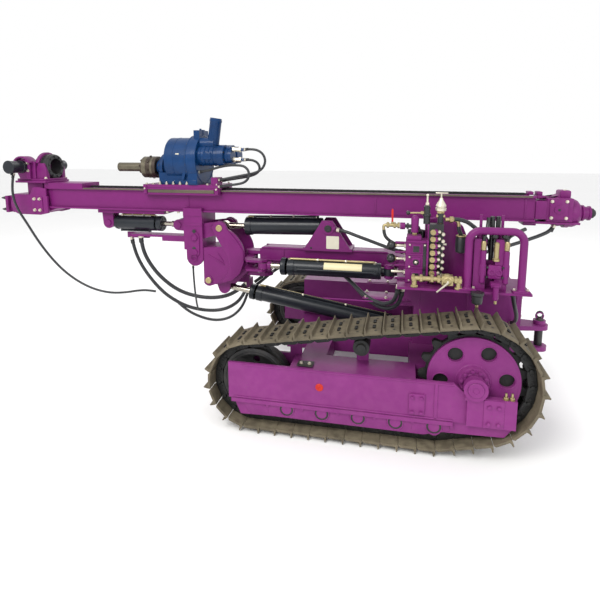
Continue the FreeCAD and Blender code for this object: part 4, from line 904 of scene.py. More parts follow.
@dataclass(frozen=True)
class Studio:
    """A pale floor, soft lamps and an even white surround."""

    floor_half: float = 40.0
    floor_colour: Colour = (0.9, 0.9, 0.9)
    floor_roughness: float = 0.75
    tone_scale: float = 0.35
    surround: float = 1.0
    lamps: tuple = (
        Lamp("key", (1.8, 5.6, 6.2), (0.0, 0.0, 0.7), 3.6, 380.0, (1.0, 0.985, 0.96)),
        Lamp("fill", (-5.5, 4.0, 3.4), (-0.5, 0.0, 0.8), 4.0, 90.0, (0.96, 0.98, 1.0)),
        Lamp("back", (0.5, -6.0, 5.0), (0.0, 0.0, 0.9), 4.0, 120.0),
    )

    def build(self) -> None:
        """Make the floor, the lamps and the surround."""
        material = bpy.data.materials.new("studio floor")
        material.use_nodes = True
        graph = NodeGraph(material.node_tree)
        shader = material.node_tree.nodes["Principled BSDF"]
        place = graph.node("ShaderNodeTexCoord")
        tone = graph.span(graph.noise(place.outputs["Object"], self.tone_scale, 2.0), 0.3, 0.7, 0.0, 1.0)
        pale = (*self.floor_colour, 1)
        dimmer = (*(0.985 * value for value in self.floor_colour), 1)
        graph.link(graph.mix(tone, pale, dimmer), shader.inputs["Base Color"])
        shader.inputs["Roughness"].default_value = self.floor_roughness
        mesh = bmesh.new()
        bmesh.ops.create_grid(mesh, x_segments=8, y_segments=8, size=self.floor_half)
        data = bpy.data.meshes.new("floor")
        mesh.to_mesh(data)
        mesh.free()
        data.materials.append(material)
        floor = bpy.data.objects.new("floor", data)
        bpy.context.scene.collection.objects.link(floor)
        for lamp in self.lamps:
            lamp.build()
        world = bpy.data.worlds.new("surround")
        world.use_nodes = True
        background = world.node_tree.nodes["Background"]
        background.inputs["Color"].default_value = (1.0, 1.0, 1.0, 1)
        background.inputs["Strength"].default_value = self.surround
        bpy.context.scene.world = world
        bpy.context.scene.view_settings.view_transform = "Standard"


# Hoses

class Ending(Enum):
    """What a hose's end shows."""

    FITTING = "a crimped sleeve with a nut"
    HIDDEN = "nothing, because it goes in among other parts"


@dataclass(frozen=True)
class Hose:
    """One hose: its real length, its diameter and the points that its line is drawn from."""

    name: str
    body: str
    diameter: float
    length: float
    points: tuple
    far_body: str = ""
    start: Ending = Ending.FITTING
    end: Ending = Ending.FITTING

    def _spline(self, radius: float) -> bpy.types.Curve:
        """Draw the hose's line, as a round hose or, with no radius, as a bare line."""
        return drawn(self.name + "_line", self.points, radius, HOSE_STEPS)

    def line(self) -> list[Vector]:
        """Points read along the hose's own spline.

        Returns:
            The points in order.
        """
        mesh = mesh_of(self._spline(0.0))
        found = [vert.co.copy() for vert in mesh.vertices]
        bpy.data.meshes.remove(mesh)
        return found

    def build(self) -> bpy.types.Object:
        """Returns:
            The hose's object: a curve, or a fixed mesh where it runs between two bodies.
        """
        data = self._spline(self.diameter / 2)
        if self.far_body:
            data = mesh_of(data)
            data.materials.clear()
            data.shade_smooth()
        piece = bpy.data.objects.new(self.name + "_rubber", data)
        data.materials.append(PAINTS.get(Surface.RUBBER))
        bpy.context.scene.collection.objects.link(piece)
        if self.far_body:
            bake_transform(piece)
        else:
            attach(piece, self.body)
        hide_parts(self.name)
        self.length
        self.line() if self.far_body else None
        return piece

    def fit(self, form: Form, first: bool) -> None:
        """Add a crimped sleeve and a nut at one end.

        Args:
            form: the piece that gathers the fittings.
            first: whether it is the hose's first end.
        """
        here, near = (self.points[0], self.points[1]) if first else (self.points[-1], self.points[-2])
        here, near = Vector(here), Vector(near)
        way = (near - here).normalized()
        d = self.diameter
        form.paint(Surface.ZINC)
        form.bar(here - way * 0.1 * d, here + way * 0.75 * d, 0.66 * d, 6, 0.04 * d)
        form.paint(Surface.DARK)
        form.lathe(here + way * 0.7 * d, way, [(along * d, radius * d) for along, radius in SLEEVE], 20)


@dataclass
class HoseSet:
    """Every hose of the rig, with its fittings."""

    hoses: tuple

    def build(self) -> None:
        """Make the hoses and the fittings at their ends."""
        fittings: dict[str, Form] = {}
        for hose in self.hoses:
            piece = hose.build()
            LOG.info("%s: %.3f m on %s", piece.name, hose.length, hose.body)
            for first, ending, body in ((True, hose.start, hose.body),
                                        (False, hose.end, hose.far_body or hose.body)):
                if ending is Ending.FITTING:
                    form = fittings.setdefault(body, Form("hose_fittings_" + body))
                    hose.fit(form, first)
        for body, form in fittings.items():
            form.finish(body)


HOSES = (
    Hose("hose_feed_1", "tilt_frame", 0.034, 1.316, (
        (1.118, 0.008, 1.15), (1.112, 0.006, 1.04), (1.066, -0.008, 0.91), (0.97, -0.035, 0.765),
        (0.82, -0.075, 0.635), (0.64, -0.115, 0.575), (0.455, -0.135, 0.575), (0.3, -0.146, 0.632),
        (0.188, -0.15, 0.735),
    )),
    Hose("hose_feed_2", "tilt_frame", 0.03, 1.544, (
        (1.24, -0.047, 1.118), (1.226, -0.046, 1.02), (1.165, -0.046, 0.87), (1.052, -0.048, 0.715),
        (0.93, -0.058, 0.592), (0.77, -0.09, 0.492), (0.6, -0.136, 0.445), (0.44, -0.176, 0.448),
        (0.312, -0.194, 0.515), (0.235, -0.19, 0.62), (0.188, -0.176, 0.722),
    )),
    Hose("hose_feed_3", "tilt_frame", 0.024, 0.942, (
        (0.866, -0.084, 0.552), (0.775, -0.092, 0.462), (0.64, -0.11, 0.392), (0.505, -0.144, 0.354),
        (0.38, -0.18, 0.374), (0.285, -0.204, 0.452), (0.225, -0.211, 0.57), (0.188, -0.209, 0.7),
    ), start=Ending.HIDDEN),
    Hose("hose_bracket", "tilt_frame", 0.016, 0.55, (
        (0.572, 0.129, 0.94), (0.573, 0.126, 0.875), (0.578, 0.108, 0.78), (0.592, 0.066, 0.68),
        (0.612, 0.008, 0.59), (0.633, -0.052, 0.515), (0.645, -0.1, 0.462),
    ), end=Ending.HIDDEN),
    Hose("hose_clamp", "mast", 0.02, 1.901, (
        (2.149, 0.25, 1.691), (2.16, 0.26, 1.62), (2.168, 0.26, 1.49), (2.152, 0.232, 1.37),
        (2.112, 0.19, 1.25), (2.062, 0.15, 1.105), (1.985, 0.11, 0.95), (1.876, 0.076, 0.805),
        (1.736, 0.054, 0.698), (1.588, 0.038, 0.632), (1.44, 0.02, 0.604), (1.305, 0.004, 0.612),
        (1.18, -0.008, 0.636), (1.085, -0.012, 0.644), (1.012, -0.014, 0.636),
    ), far_body="tilt_frame", end=Ending.HIDDEN),
    Hose("hose_head_1", "boom_head", 0.028, 0.468, (
        (-0.254, -0.052, 0.952), (-0.198, -0.076, 0.951), (-0.132, -0.108, 0.938), (-0.068, -0.132, 0.903),
        (-0.008, -0.148, 0.856), (0.048, -0.155, 0.802), (0.092, -0.156, 0.762), (0.126, -0.155, 0.738),
    ), far_body="tilt_frame", end=Ending.HIDDEN),
    Hose("hose_head_2", "boom_head", 0.028, 0.485, (
        (-0.252, -0.018, 0.952), (-0.2, -0.045, 0.941), (-0.138, -0.08, 0.912), (-0.075, -0.112, 0.868),
        (-0.012, -0.134, 0.818), (0.044, -0.147, 0.768), (0.09, -0.152, 0.726), (0.126, -0.154, 0.7),
    ), far_body="tilt_frame", end=Ending.HIDDEN),
    Hose("hose_boom_1", "boom", 0.03, 0.83, (
        (-0.56, 0.016, 0.952), (-0.648, 0.058, 0.934), (-0.748, 0.15, 0.884), (-0.84, 0.245, 0.828),
        (-0.93, 0.312, 0.79), (-1.018, 0.368, 0.782), (-1.084, 0.41, 0.82), (-1.112, 0.428, 0.885),
        (-1.12, 0.432, 0.95),
    ), far_body="chassis"),
    Hose("hose_boom_2", "boom", 0.03, 0.882, (
        (-0.56, -0.018, 0.952), (-0.652, 0.02, 0.924), (-0.754, 0.108, 0.864), (-0.846, 0.21, 0.798),
        (-0.94, 0.29, 0.756), (-1.036, 0.35, 0.744), (-1.108, 0.388, 0.782), (-1.14, 0.402, 0.85),
        (-1.146, 0.404, 0.925),
    ), far_body="chassis"),
    Hose("hose_tilt", "boom", 0.026, 0.609, (
        (-0.641, 0.142, 1.28), (-0.706, 0.148, 1.272), (-0.795, 0.182, 1.246), (-0.893, 0.236, 1.225),
        (-0.99, 0.308, 1.206), (-1.078, 0.374, 1.192), (-1.162, 0.424, 1.184),
    ), far_body="chassis"),
    Hose("hose_mast", "mast", 0.026, 0.759, (
        (-2.205, 0.03, 1.35), (-2.186, 0.036, 1.31), (-2.112, 0.058, 1.276), (-2.012, 0.092, 1.243),
        (-1.902, 0.126, 1.209), (-1.792, 0.15, 1.176), (-1.692, 0.166, 1.146), (-1.616, 0.192, 1.124),
        (-1.575, 0.232, 1.113), (-1.566, 0.269, 1.11),
    )),
    Hose("hose_valve", "chassis", 0.026, 0.392, (
        (-1.85, 0.5, 0.987), (-1.856, 0.497, 0.925), (-1.876, 0.476, 0.855), (-1.9, 0.434, 0.79),
        (-1.91, 0.378, 0.735), (-1.904, 0.33, 0.7), (-1.896, 0.298, 0.685),
    )),
    Hose("hose_motor_1", "carriage", 0.02, 0.673, (
        (0.122, 0.082, 1.892), (0.045, 0.084, 1.9), (-0.03, 0.086, 1.872), (-0.062, 0.088, 1.806),
        (-0.034, 0.092, 1.738), (0.036, 0.098, 1.704), (0.128, 0.104, 1.688), (0.23, 0.112, 1.668),
        (0.332, 0.118, 1.648),
    )),
    Hose("hose_motor_2", "carriage", 0.02, 0.528, (
        (0.122, 0.082, 1.812), (0.066, 0.078, 1.814), (0.012, 0.072, 1.792), (-0.008, 0.068, 1.742),
        (0.022, 0.064, 1.7), (0.096, 0.062, 1.676), (0.205, 0.062, 1.658), (0.332, 0.062, 1.638),
    )),
    Hose("hose_motor_3", "carriage", 0.02, 0.789, (
        (0.499, 0.122, 1.712), (0.43, 0.124, 1.72), (0.34, 0.128, 1.748), (0.245, 0.134, 1.768),
        (0.16, 0.14, 1.77), (0.098, 0.146, 1.764), (0.059, 0.152, 1.725), (0.059, 0.158, 1.67),
        (0.098, 0.164, 1.632), (0.17, 0.166, 1.618), (0.245, 0.162, 1.61), (0.317, 0.146, 1.596),
    )),
)


# Crawler

@dataclass(frozen=True)
class Circle:
    """A wheel that the track runs round, as its middle in X and Z and its radius."""

    x: float
    z: float
    radius: float


@dataclass
class TrackPath:
    """The track's closed line round its wheels, at a distance outside the rails' running face."""

    offset: float
    circles: tuple = (Circle(-0.18, 0.335, 0.227), Circle(-0.898, 0.632, 0.052), Circle(-1.59, 0.475, 0.307),
                      Circle(-1.36, 0.168, 0.06))

    def __post_init__(self) -> None:
        """Work out the straight runs and the arcs in turn."""
        joints = []
        for here, there in zip(self.circles, self.circles[1:] + self.circles[:1]):
            span = math.hypot(there.x - here.x, there.z - here.z)
            heading = math.atan2(there.z - here.z, there.x - here.x)
            joints.append(heading - math.acos((here.radius - there.radius) / span))
        self.runs = []
        for index, circle in enumerate(self.circles):
            nearest = self.circles[(index + 1) % len(self.circles)]
            sweep = (joints[index] - joints[index - 1]) % (TURN)
            out = Vector((math.cos(joints[index]), math.sin(joints[index])))
            start = Vector((circle.x, circle.z)) + out * (circle.radius + self.offset)
            end = Vector((nearest.x, nearest.z)) + out * (nearest.radius + self.offset)
            self.runs.append((circle, joints[index - 1], sweep, start, end, out))

    @property
    def length(self) -> float:
        """The length of the whole path."""
        return sum((c.radius + self.offset) * sweep + (end - start).length
                   for c, _, sweep, start, end, _ in self.runs)

    def at(self, distance: float) -> tuple[Vector, Vector]:
        """The point at a distance along the path, and the outward direction there, in X and Z.

        Args:
            distance: the distance along the path.

        Returns:
            The point and the direction.
        """
        distance %= self.length
        for circle, first, sweep, start, end, out in self.runs:
            radius = circle.radius + self.offset
            if distance <= radius * sweep:
                angle = first + distance / radius
                turned = Vector((math.cos(angle), math.sin(angle)))
                return Vector((circle.x, circle.z)) + turned * radius, turned
            distance -= radius * sweep
            if distance <= (end - start).length:
                return start + (end - start).normalized() * distance, out
            distance -= (end - start).length
        return self.runs[0][3], self.runs[0][5]


@dataclass
class Tracks:
    """Both track loops: shoes with one bar each, on two chains of links."""

    middle_y: float = 0.75
    half: float = 0.15
    thick: float = 0.016
    bar_high: float = 0.0312
    pitch: float = 0.115
    rail: float = 0.06
    reach: float = 0.01

    def shoe(self) -> Form:
        """One shoe, lying along X with its bar up, its inner face at Z = 0.

        Returns:
            The form that holds it.
        """
        form = Form("shoe", Surface.TRACK)
        top, tip = self.thick, self.thick + self.bar_high
        outline = ((-0.055, 0.0), (0.047, 0.0), (0.056, -0.005), (0.058, 0.001), (0.048, top), (-0.036, top),
                   (-0.0405, 0.026), (-0.0425, tip), (-0.0495, tip), (-0.0535, 0.026), (-0.055, 0.012))
        form.prism(outline, -self.half, self.half, 0.0012)
        form.paint(Surface.CHAIN)
        form.bolts(product((0.004,), (-0.062, -0.033, 0.033, 0.062), (top,)), UP, 0.02, 0.009, washer=False)
        # Two dark discs on the shoe's top: painted shade standing in for the shoe's two slots, which are not
        # cut through.
        for y in (-0.106, 0.106):
            form.bar((0.016, y, top - 0.0015), (0.016, y, top + 0.0006), 0.009, 14)
        self.links(form)
        return form

    def links(self, form: Form) -> None:
        """Add the pair of chain links under the shoe, with their pin.

        Args:
            form: the piece that gathers the shapes.
        """
        form.plates(
            mm(-62, -18, -50, -4, 50, -4, 62, -14, 66, -30, 56, -50, 36, -58, -36, -58, -58, -46, -66, -30),
            0.037, 0.0585, 0.002)
        for x, y in product((-0.026, 0.026), (-0.0585, 0.0585)):
            form.ring((x, y, -0.031), LEFT, 0.0105, 0.0028, 14)
        form.bar((0.0575, -0.064, -0.031), (0.0575, 0.064, -0.031), 0.0135, 16, 0.002)
        form.bar((0.0575, -0.036, -0.031), (0.0575, 0.036, -0.031), 0.021, 16)

    def build(self) -> None:
        """Lay the shoes and links along the path on both sides."""
        path = TrackPath(self.rail)
        count = round(path.length / self.pitch)
        step = path.length / count
        shoe = self.shoe().to_mesh()
        for side, name in ((1, "left"), (-1, "right")):
            form = Form("track_shoes_" + name)
            for index in range(count):
                distance = index * step
                spot, out = path.at(distance)
                run = (path.at(distance + self.reach)[0] - path.at(distance - self.reach)[0]).normalized()
                place = Matrix(((run.x, 0, out.x, spot.x), (0, 1, 0, side * self.middle_y),
                                (run.y, 0, out.y, spot.y), (0, 0, 0, 1)))
                form.stamp(shoe, place)
            form.adopt((Surface.TRACK, Surface.CHAIN))
            form.finish("chassis", "track_" + name)
        bpy.data.meshes.remove(shoe)


@dataclass
class Wheels:
    """What shows on the drive wheels and idlers beyond their plain nodes."""

    drive: tuple[float, float] = (-1.59, 0.475)
    idler: tuple[float, float] = (-0.18, 0.335)
    hub_y: float = 0.828

    def disc(self) -> None:
        """Make both drive wheels: a smooth disc with six round holes, its bolted hub and its teeth."""
        x, z = self.drive
        form = Form("drive_wheels_dressed", Surface.PURPLE_LOW)
        holes = around(6, 0.196, (x, 0, z), first=math.radians(55))
        for face, turn in ((0.7975, 1), (0.772, -1)):
            edges = []
            circles = [(72, 0.278, x, z), (36, 0.09, x, z)] + [(28, 0.046, hole.x, hole.z) for hole in holes]
            for count, radius, across, height in circles:
                loop = [form.mesh.verts.new(spot) for spot in around(count, radius, (across, face, height))]
                edges += [form.mesh.edges.new(pair) for pair in zip(loop, loop[1:] + loop[:1])]
            bmesh.ops.triangle_fill(form.mesh, edges=edges, use_beauty=True, normal=(0, turn, 0))
        for hole in holes:
            form.lathe((hole.x, 0.772, hole.z), LEFT, mm(0, 46, 25.5, 46, 28.5, 48, 28.5, 52, 25.5, 53.5), 28)
        form.lathe((x, 0.772, z), LEFT, mm(0, 278, 18, 278, 24, 274, 26.5, 266, 26.5, 262), 72)
        form.lathe(
            (x, 0.7, z), LEFT, mm(0, 0, 0, 120, 72, 120, 72, 108, 98, 108, 102, 104, 102, 96, 122, 92, 128,
            88, 128, 62, 133, 58, 133, 50, 224, 47, 227, 44, 227, 20, 224, 18, 224, 0), 48)
        form.bolts(around(10, 0.076, (x, self.hub_y, z), first=math.radians(9)), LEFT, 0.021, 0.013)
        form.paint(Surface.CHAIN)
        outline = []
        for tooth in range(17):
            for shift, radius in ((-8.4, 0.29), (-6.2, 0.292), (-3.2, 0.326), (-1.6, 0.3335), (1.6, 0.3335),
                                  (3.2, 0.326), (6.2, 0.292), (8.4, 0.29)):
                angle = math.radians(360 * tooth / 17 + shift)
                outline.append((x + radius * math.cos(angle), z + radius * math.sin(angle)))
        form.prism(outline, 0.729, 0.771, 0.003)
        form.mirror()
        form.finish("chassis", "drive_wheel_left", "drive_wheel_right")

    def build(self) -> None:
        """Make the drive wheels and the idler's rings."""
        self.disc()
        x, z = self.idler
        form = Form("idler_details", Surface.DARK)
        for face in (0.806, 0.694):
            form.ring((x, face, z), LEFT, 0.205, 0.006, 56, 8)
        form.paint(Surface.PURPLE_LOW)
        form.ring((x, 0.806, z), LEFT, 0.075, 0.005, 40, 8)
        form.mirror()
        form.finish("chassis")


@dataclass
class TrackFrames:
    """Covers, caps, bolts and seams on both track frames."""

    face: float = 0.885
    top: float = 0.487
    low: float = 0.238
    roller_first: float = -0.42
    roller_step: float = 0.235
    roller_z: float = 0.19
    guard: float = 0.871

    def plate(self, form: Form, corners: Outline, out: float) -> None:
        """Lay a plate on the frame's outer face."""
        form.prism(corners, self.face - 0.002, self.face + out, 0.0025)

    def build(self) -> None:
        """Make the frames' details, left, and mirror them to the right."""
        form = Form("track_frame_details", Surface.PURPLE_LOW)
        form.box((-1.755, 0.9065, 0.24), (-1.64, 0.9125, 0.415), 0.002)
        form.bolts(product((-1.725, -1.67), (0.9125,), (0.268, 0.375)), LEFT, 0.02, 0.01)
        self.plate(form, mm(-1205, 262, -1205, 400, -1300, 400, -1300, 262), 0.011)
        self.plate(form, mm(-1355, 245, -1355, 455, -1362, 480, -1376, 480, -1376, 245), 0.005)
        face, guard, z = self.face, self.guard, self.roller_z
        form.box((-1.47, face - 0.002, self.low + 0.006), (-0.06, face + 0.005, self.low + 0.016), 0.0015)
        form.box((-1.47, face - 0.001, self.top - 0.016), (-0.12, face + 0.004, self.top - 0.006), 0.0015)
        form.bolts(product((-1.225, -1.28), (face + 0.011,), (0.282, 0.378)), LEFT, 0.018, 0.01)
        form.prism(mm(-106, 238.5, -165, 128, -1300, 128, -1455, 170, -1455, 238.5),
                   guard - 0.002, guard + 0.0075, 0.003)
        for first, last in (((-0.125, 0.2385), (-0.285, 0.2385)), ((-1.445, 0.2385), (-1.235, 0.2385))):
            sense = 1 if first[0] > last[0] else -1
            form.prism((first, (first[0] - sense * 0.055, 0.148), (last[0] - sense * 0.01, 0.148),
                        (last[0], 0.2)), guard + 0.006, guard + 0.0092, 0.001)
        rollers = [(self.roller_first - index * self.roller_step, guard, z) for index in range(5)]
        for roller in rollers:
            form.lathe(roller, LEFT, mm(6, 52, 12.5, 52, 14.5, 50, 14.5, 46, 8.5, 44.5), 36)
            form.lathe(roller, LEFT, mm(6, 34, 11.5, 34, 13.5, 31, 13.5, 0), 30)
        form.bolts([(self.roller_first - (index - 0.5) * self.roller_step + 0.012, guard + 0.0075, 0.206)
                    for index in range(6)], LEFT, 0.017, 0.009)
        form.paint(Surface.DARK)
        # Dark discs just behind the roller caps, which show as a dark ring round each cap: painted shade
        # standing in for the shaded round openings that the caps sit in.
        for roller in rollers:
            form.lathe(roller, LEFT, mm(6, 45.5, 9.7, 45.5, 10, 0), 36)
        form.box((-0.59, 0.79, self.top + 0.009), (-0.485, 0.868, self.top + 0.0145), 0.002)
        form.paint(Surface.ZINC)
        form.bolts(product((-0.51, -0.565), (0.835,), (self.top + 0.0145,)), UP, 0.017, 0.01)
        form.paint(Surface.CHAIN)
        form.lathe(
            (-0.898, 0.684, 0.632), LEFT, mm(0, 0, 0, 52.5, 132, 52.5, 133.5, 48, 133.5, 32, 150, 30, 152, 26,
            152, 0), 36)
        form.paint(Surface.BRASS)
        form.bolts(product((-1.8, -1.765, -1.59, -1.557), (0.885,), (0.42,)), UP, 0.024, 0.014, thread=0.024)
        form.mirror()
        form.finish("chassis")
        dot = Form("filler_plug", Surface.RED)
        dot.lathe((-0.64, self.face - 0.001, 0.372), LEFT, mm(0, 26, 3, 26, 6, 23, 7, 8, 10, 6, 10, 0), 28)
        dot.finish("chassis")


# Controls

@dataclass
class ValveBank:
    """The main valves: plates, spool ends, ball levers and the gauges and taps on top."""

    face: float = 0.52
    lever_y: float = 0.455
    top_y: float = 0.465

    def _faces(self, form: Form) -> None:
        """Add the plates, ribs and strips on the bank's outer face.

        Args:
            form: the piece that gathers the shapes.
        """
        form.paint(Surface.PURPLE)
        for low in (1.002, 1.098, 1.19, 1.276):
            form.box((-1.297, self.face - 0.002, low), (-1.163, self.face + 0.006, low + 0.011), 0.002)
        for z in (1.233, 1.144, 1.048):
            form.box((-1.258, self.face - 0.002, z - 0.031), (-1.199, self.face + 0.009, z + 0.031), 0.004)
        form.box((-1.309, 0.425, 1.0), (-1.295, self.face + 0.014, 1.296), 0.003)
        form.box((-1.262, 0.408, 1.288), (-1.165, 0.512, 1.318), 0.006)
        form.paint(Surface.KNOB)
        for z in (1.233, 1.048):
            form.box((-1.249, self.face + 0.004, z - 0.021), (-1.208, self.face + 0.0115, z + 0.021), 0.002)
        form.ring((-1.228, self.face + 0.01, 1.144), LEFT, 0.0155, 0.005, 28, 8)
        form.box((-1.2935, self.face - 0.001, 1.012), (-1.2735, self.face + 0.008, 1.27), 0.002)
        form.box((-1.4015, 0.4285, 1.001), (-1.3085, 0.5015, 1.402), 0.002)
        form.paint(Surface.ZINC)
        form.bolts(
            [(x, self.face + 0.004, z) for x, z in ((-1.283, 1.262), (-1.283, 1.028), (-1.186, 1.262),
            (-1.186, 1.018), (-1.186, 1.112), (-1.186, 1.178))], LEFT, 0.011, 0.007, washer=False)
        form.lathe((-1.228, self.face + 0.008, 1.144), LEFT, mm(0, 9, 6, 9, 8, 6, 8, 0), 18)

    def _spools(self, form: Form) -> None:
        """Add the column of brass discs and the two columns of knobs.

        Args:
            form: the piece that gathers the shapes.
        """
        for row in range(8):
            z = 1.03 + 0.046 * row
            form.paint(Surface.BRASS)
            form.lathe(
                (-1.333, 0.5, z), LEFT, mm(0, 13, 26, 13, 28, 19, 43, 19.5, 47, 17, 47, 9, 52, 8, 52, 0), 22)
            form.bar((-1.372, 0.5, z + 0.006), (-1.372, 0.528, z + 0.006), 0.0085, 6, 0.0012)
            form.paint(Surface.ZINC)
            form.lathe((-1.372, 0.526, z + 0.006), LEFT, mm(0, 5, 12, 5, 14, 9.5, 22, 10.5, 27, 8, 29, 0), 16)
            form.bar((-1.397, 0.5, z - 0.012), (-1.397, 0.519, z - 0.012), 0.0095, 6, 0.0012)
            form.lathe((-1.397, 0.517, z - 0.012), LEFT, mm(0, 6, 9, 12.5, 20, 12.5, 25, 9, 26, 0), 16)

    def _levers(self, form: Form) -> None:
        """Add the pale rods with their ball knobs.

        Args:
            form: the piece that gathers the shapes.
        """
        form.paint(Surface.ZINC)
        for z, tip in ((1.24, -1.086), (1.148, -1.086), (1.056, -1.066)):
            form.bar((-1.162, self.lever_y, z), (tip, self.lever_y, z), 0.0102, 14, 0.0015)
            form.bar((-1.172, self.lever_y, z), (-1.15, self.lever_y, z), 0.019, 6, 0.002)
        for z in (1.24, 1.148):
            form.paint(Surface.KNOB)
            form.lathe(
                (-1.096, self.lever_y, z), AHEAD, mm(0, 12, 6, 16, 12, 25, 24, 32, 38, 33, 52, 26, 60, 14, 63,
                0), 28)
            form.paint(Surface.BRASS)
            form.ring((-1.094, self.lever_y, z), AHEAD, 0.0135, 0.004, 20)

    def _tap(self, form: Form) -> None:
        """Add the red-handled tap, the purple filter and the small black knob on its rod.

        Args:
            form: the piece that gathers the shapes.
        """
        y = self.top_y
        form.paint(Surface.BRASS)
        form.bar((-1.108, y, 1.381), (-1.022, y, 1.381), 0.0125, 20)
        for x in (-1.108, -1.082, -1.036):
            form.bar((x - 0.008, y, 1.381), (x + 0.008, y, 1.381), 0.0205, 6, 0.002)
        form.bar((-1.066, y, 1.381), (-1.066, y, 1.405), 0.008, 14)
        form.pipe(((-1.03, y, 1.381), (-1.012, y, 1.381), (-1.006, y, 1.366), (-1.01, y, 1.345)), 0.0095)
        form.bar((-1.216, y, 1.312), (-1.216, y, 1.34), 0.017, 6, 0.002)
        form.bar((-1.262, y, 1.47), (-1.176, y, 1.468), 0.0058, 12)
        form.bar((-1.272, y, 1.47), (-1.252, y, 1.47), 0.012, 6, 0.001)
        form.paint(Surface.RED)
        form.prism(
            mm(-1072, 1402, -1072.5, 1478, -1069, 1492, -1060.5, 1492, -1057.5, 1478, -1060, 1402),
            y - 0.0025, y + 0.0025, 0.001)
        form.paint(Surface.PURPLE)
        form.bar((-1.152, y, 1.378), (-1.118, y, 1.378), 0.0235, 24, 0.003)
        form.lathe((-1.216, y, 1.334), UP, mm(0, 12, 4, 24, 96, 26.5, 106, 24, 116, 14, 120, 0), 28)
        form.paint(Surface.DARK)
        form.bar((-1.2, y, 1.378), (-1.148, y, 1.378), 0.0125, 16)
        form.bar((-1.176, y, 1.378), (-1.162, y, 1.378), 0.021, 6, 0.002)
        form.lathe(
            (-1.292, y, 1.398), UP, mm(0, 22, 50, 22, 53, 27, 68, 27, 71, 21, 118, 21, 124, 14, 124, 0), 24)
        form.paint(Surface.KNOB)
        form.ball((-1.17, y, 1.468), 0.0145, 10)
        form.pipe(((-1.01, y, 1.347), (-1.012, y, 1.32), (-1.03, y - 0.01, 1.285), (-1.075, y - 0.03, 1.25),
                   (-1.13, y - 0.05, 1.235), (-1.168, y - 0.04, 1.235)), 0.0115)
        form.paint(Surface.ZINC)
        form.bar((-1.292, y, 1.518), (-1.292, y, 1.585), 0.0065, 12)
        form.ball((-1.292, y, 1.59), 0.0095, 8)
        form.bar((-1.292, y, 1.524), (-1.292, y, 1.54), 0.0125, 6, 0.001)

    def _stop_valve(self, form: Form) -> None:
        """Add the stop valve with its T handle over the spools, and the elbow behind it.

        Args:
            form: the piece that gathers the shapes.
        """
        y, x = self.top_y + 0.005, -1.38
        form.paint(Surface.ZINC)
        form.bar((x - 0.042, y, 1.606), (x + 0.036, y, 1.606), 0.0052, 12, 0.001)
        form.bar((x, y, 1.56), (x, y, 1.607), 0.0055, 12)
        form.lathe(
            (x, y, 1.49), UP, mm(0, 0, 0, 34, 10, 35.5, 18, 35.5, 20, 28, 26, 28, 26, 33, 34, 34, 52, 24, 72,
            12.5, 84, 9.5, 86, 0), 28)
        form.bar((x - 0.045, y, 1.262), (x + 0.035, y, 1.262), 0.0085, 12, 0.001)
        form.paint(Surface.BRASS)
        form.bar((x, y, 1.36), (x, y, 1.445), 0.0115, 16)
        form.bar((x - 0.028, y, 1.452), (x + 0.028, y, 1.452), 0.011, 12)
        form.bar((x, y, 1.472), (x, y, 1.492), 0.026, 6, 0.002)
        form.pipe(((x - 0.03, y, 1.43), (x - 0.075, y - 0.01, 1.43), (x - 0.1, y - 0.015, 1.428),
                   (x - 0.12, y - 0.015, 1.41), (x - 0.12, y - 0.015, 1.38)), 0.0125)
        form.bar((x - 0.058, y - 0.005, 1.43), (x - 0.082, y - 0.01, 1.43), 0.021, 6, 0.002)
        form.ring((x - 0.14, y - 0.015, 1.322), UP, 0.032, 0.0055, 26)
        form.paint(Surface.RUBBER)
        form.lathe((x, y, 1.268), UP, mm(0, 0, 0, 24, 30, 22.5, 90, 21.5, 98, 18, 100, 0), 22)
        form.bar((x, y, 1.405), (x, y, 1.49), 0.0195, 20, 0.002)
        form.pipe(((x - 0.12, y - 0.015, 1.385), (x - 0.121, y - 0.015, 1.36), (x - 0.135, y - 0.02, 1.335),
                   (x - 0.14, y - 0.02, 1.318)), 0.0135)
        form.lathe(
            (x - 0.14, y - 0.02, 1.205), UP, mm(0, 0, 0, 22, 8, 34, 50, 37, 100, 36, 112, 30, 116, 0), 28)
        form.pipe(
            ((x - 0.09, y - 0.01, 1.432), (x - 0.15, y - 0.01, 1.432), (x - 0.22, y, 1.385),
            (x - 0.295, y + 0.02, 1.315), (x - 0.318, y + 0.035, 1.25), (x - 0.32, y + 0.045, 1.19)), 0.0135)

    def build(self) -> None:
        """Make the valve bank's pieces."""
        form = Form("valve_bank_faces")
        self._faces(form)
        self._spools(form)
        form.finish("chassis")
        form = Form("valve_bank_levers")
        self._levers(form)
        self._tap(form)
        self._stop_valve(form)
        form.finish("chassis")


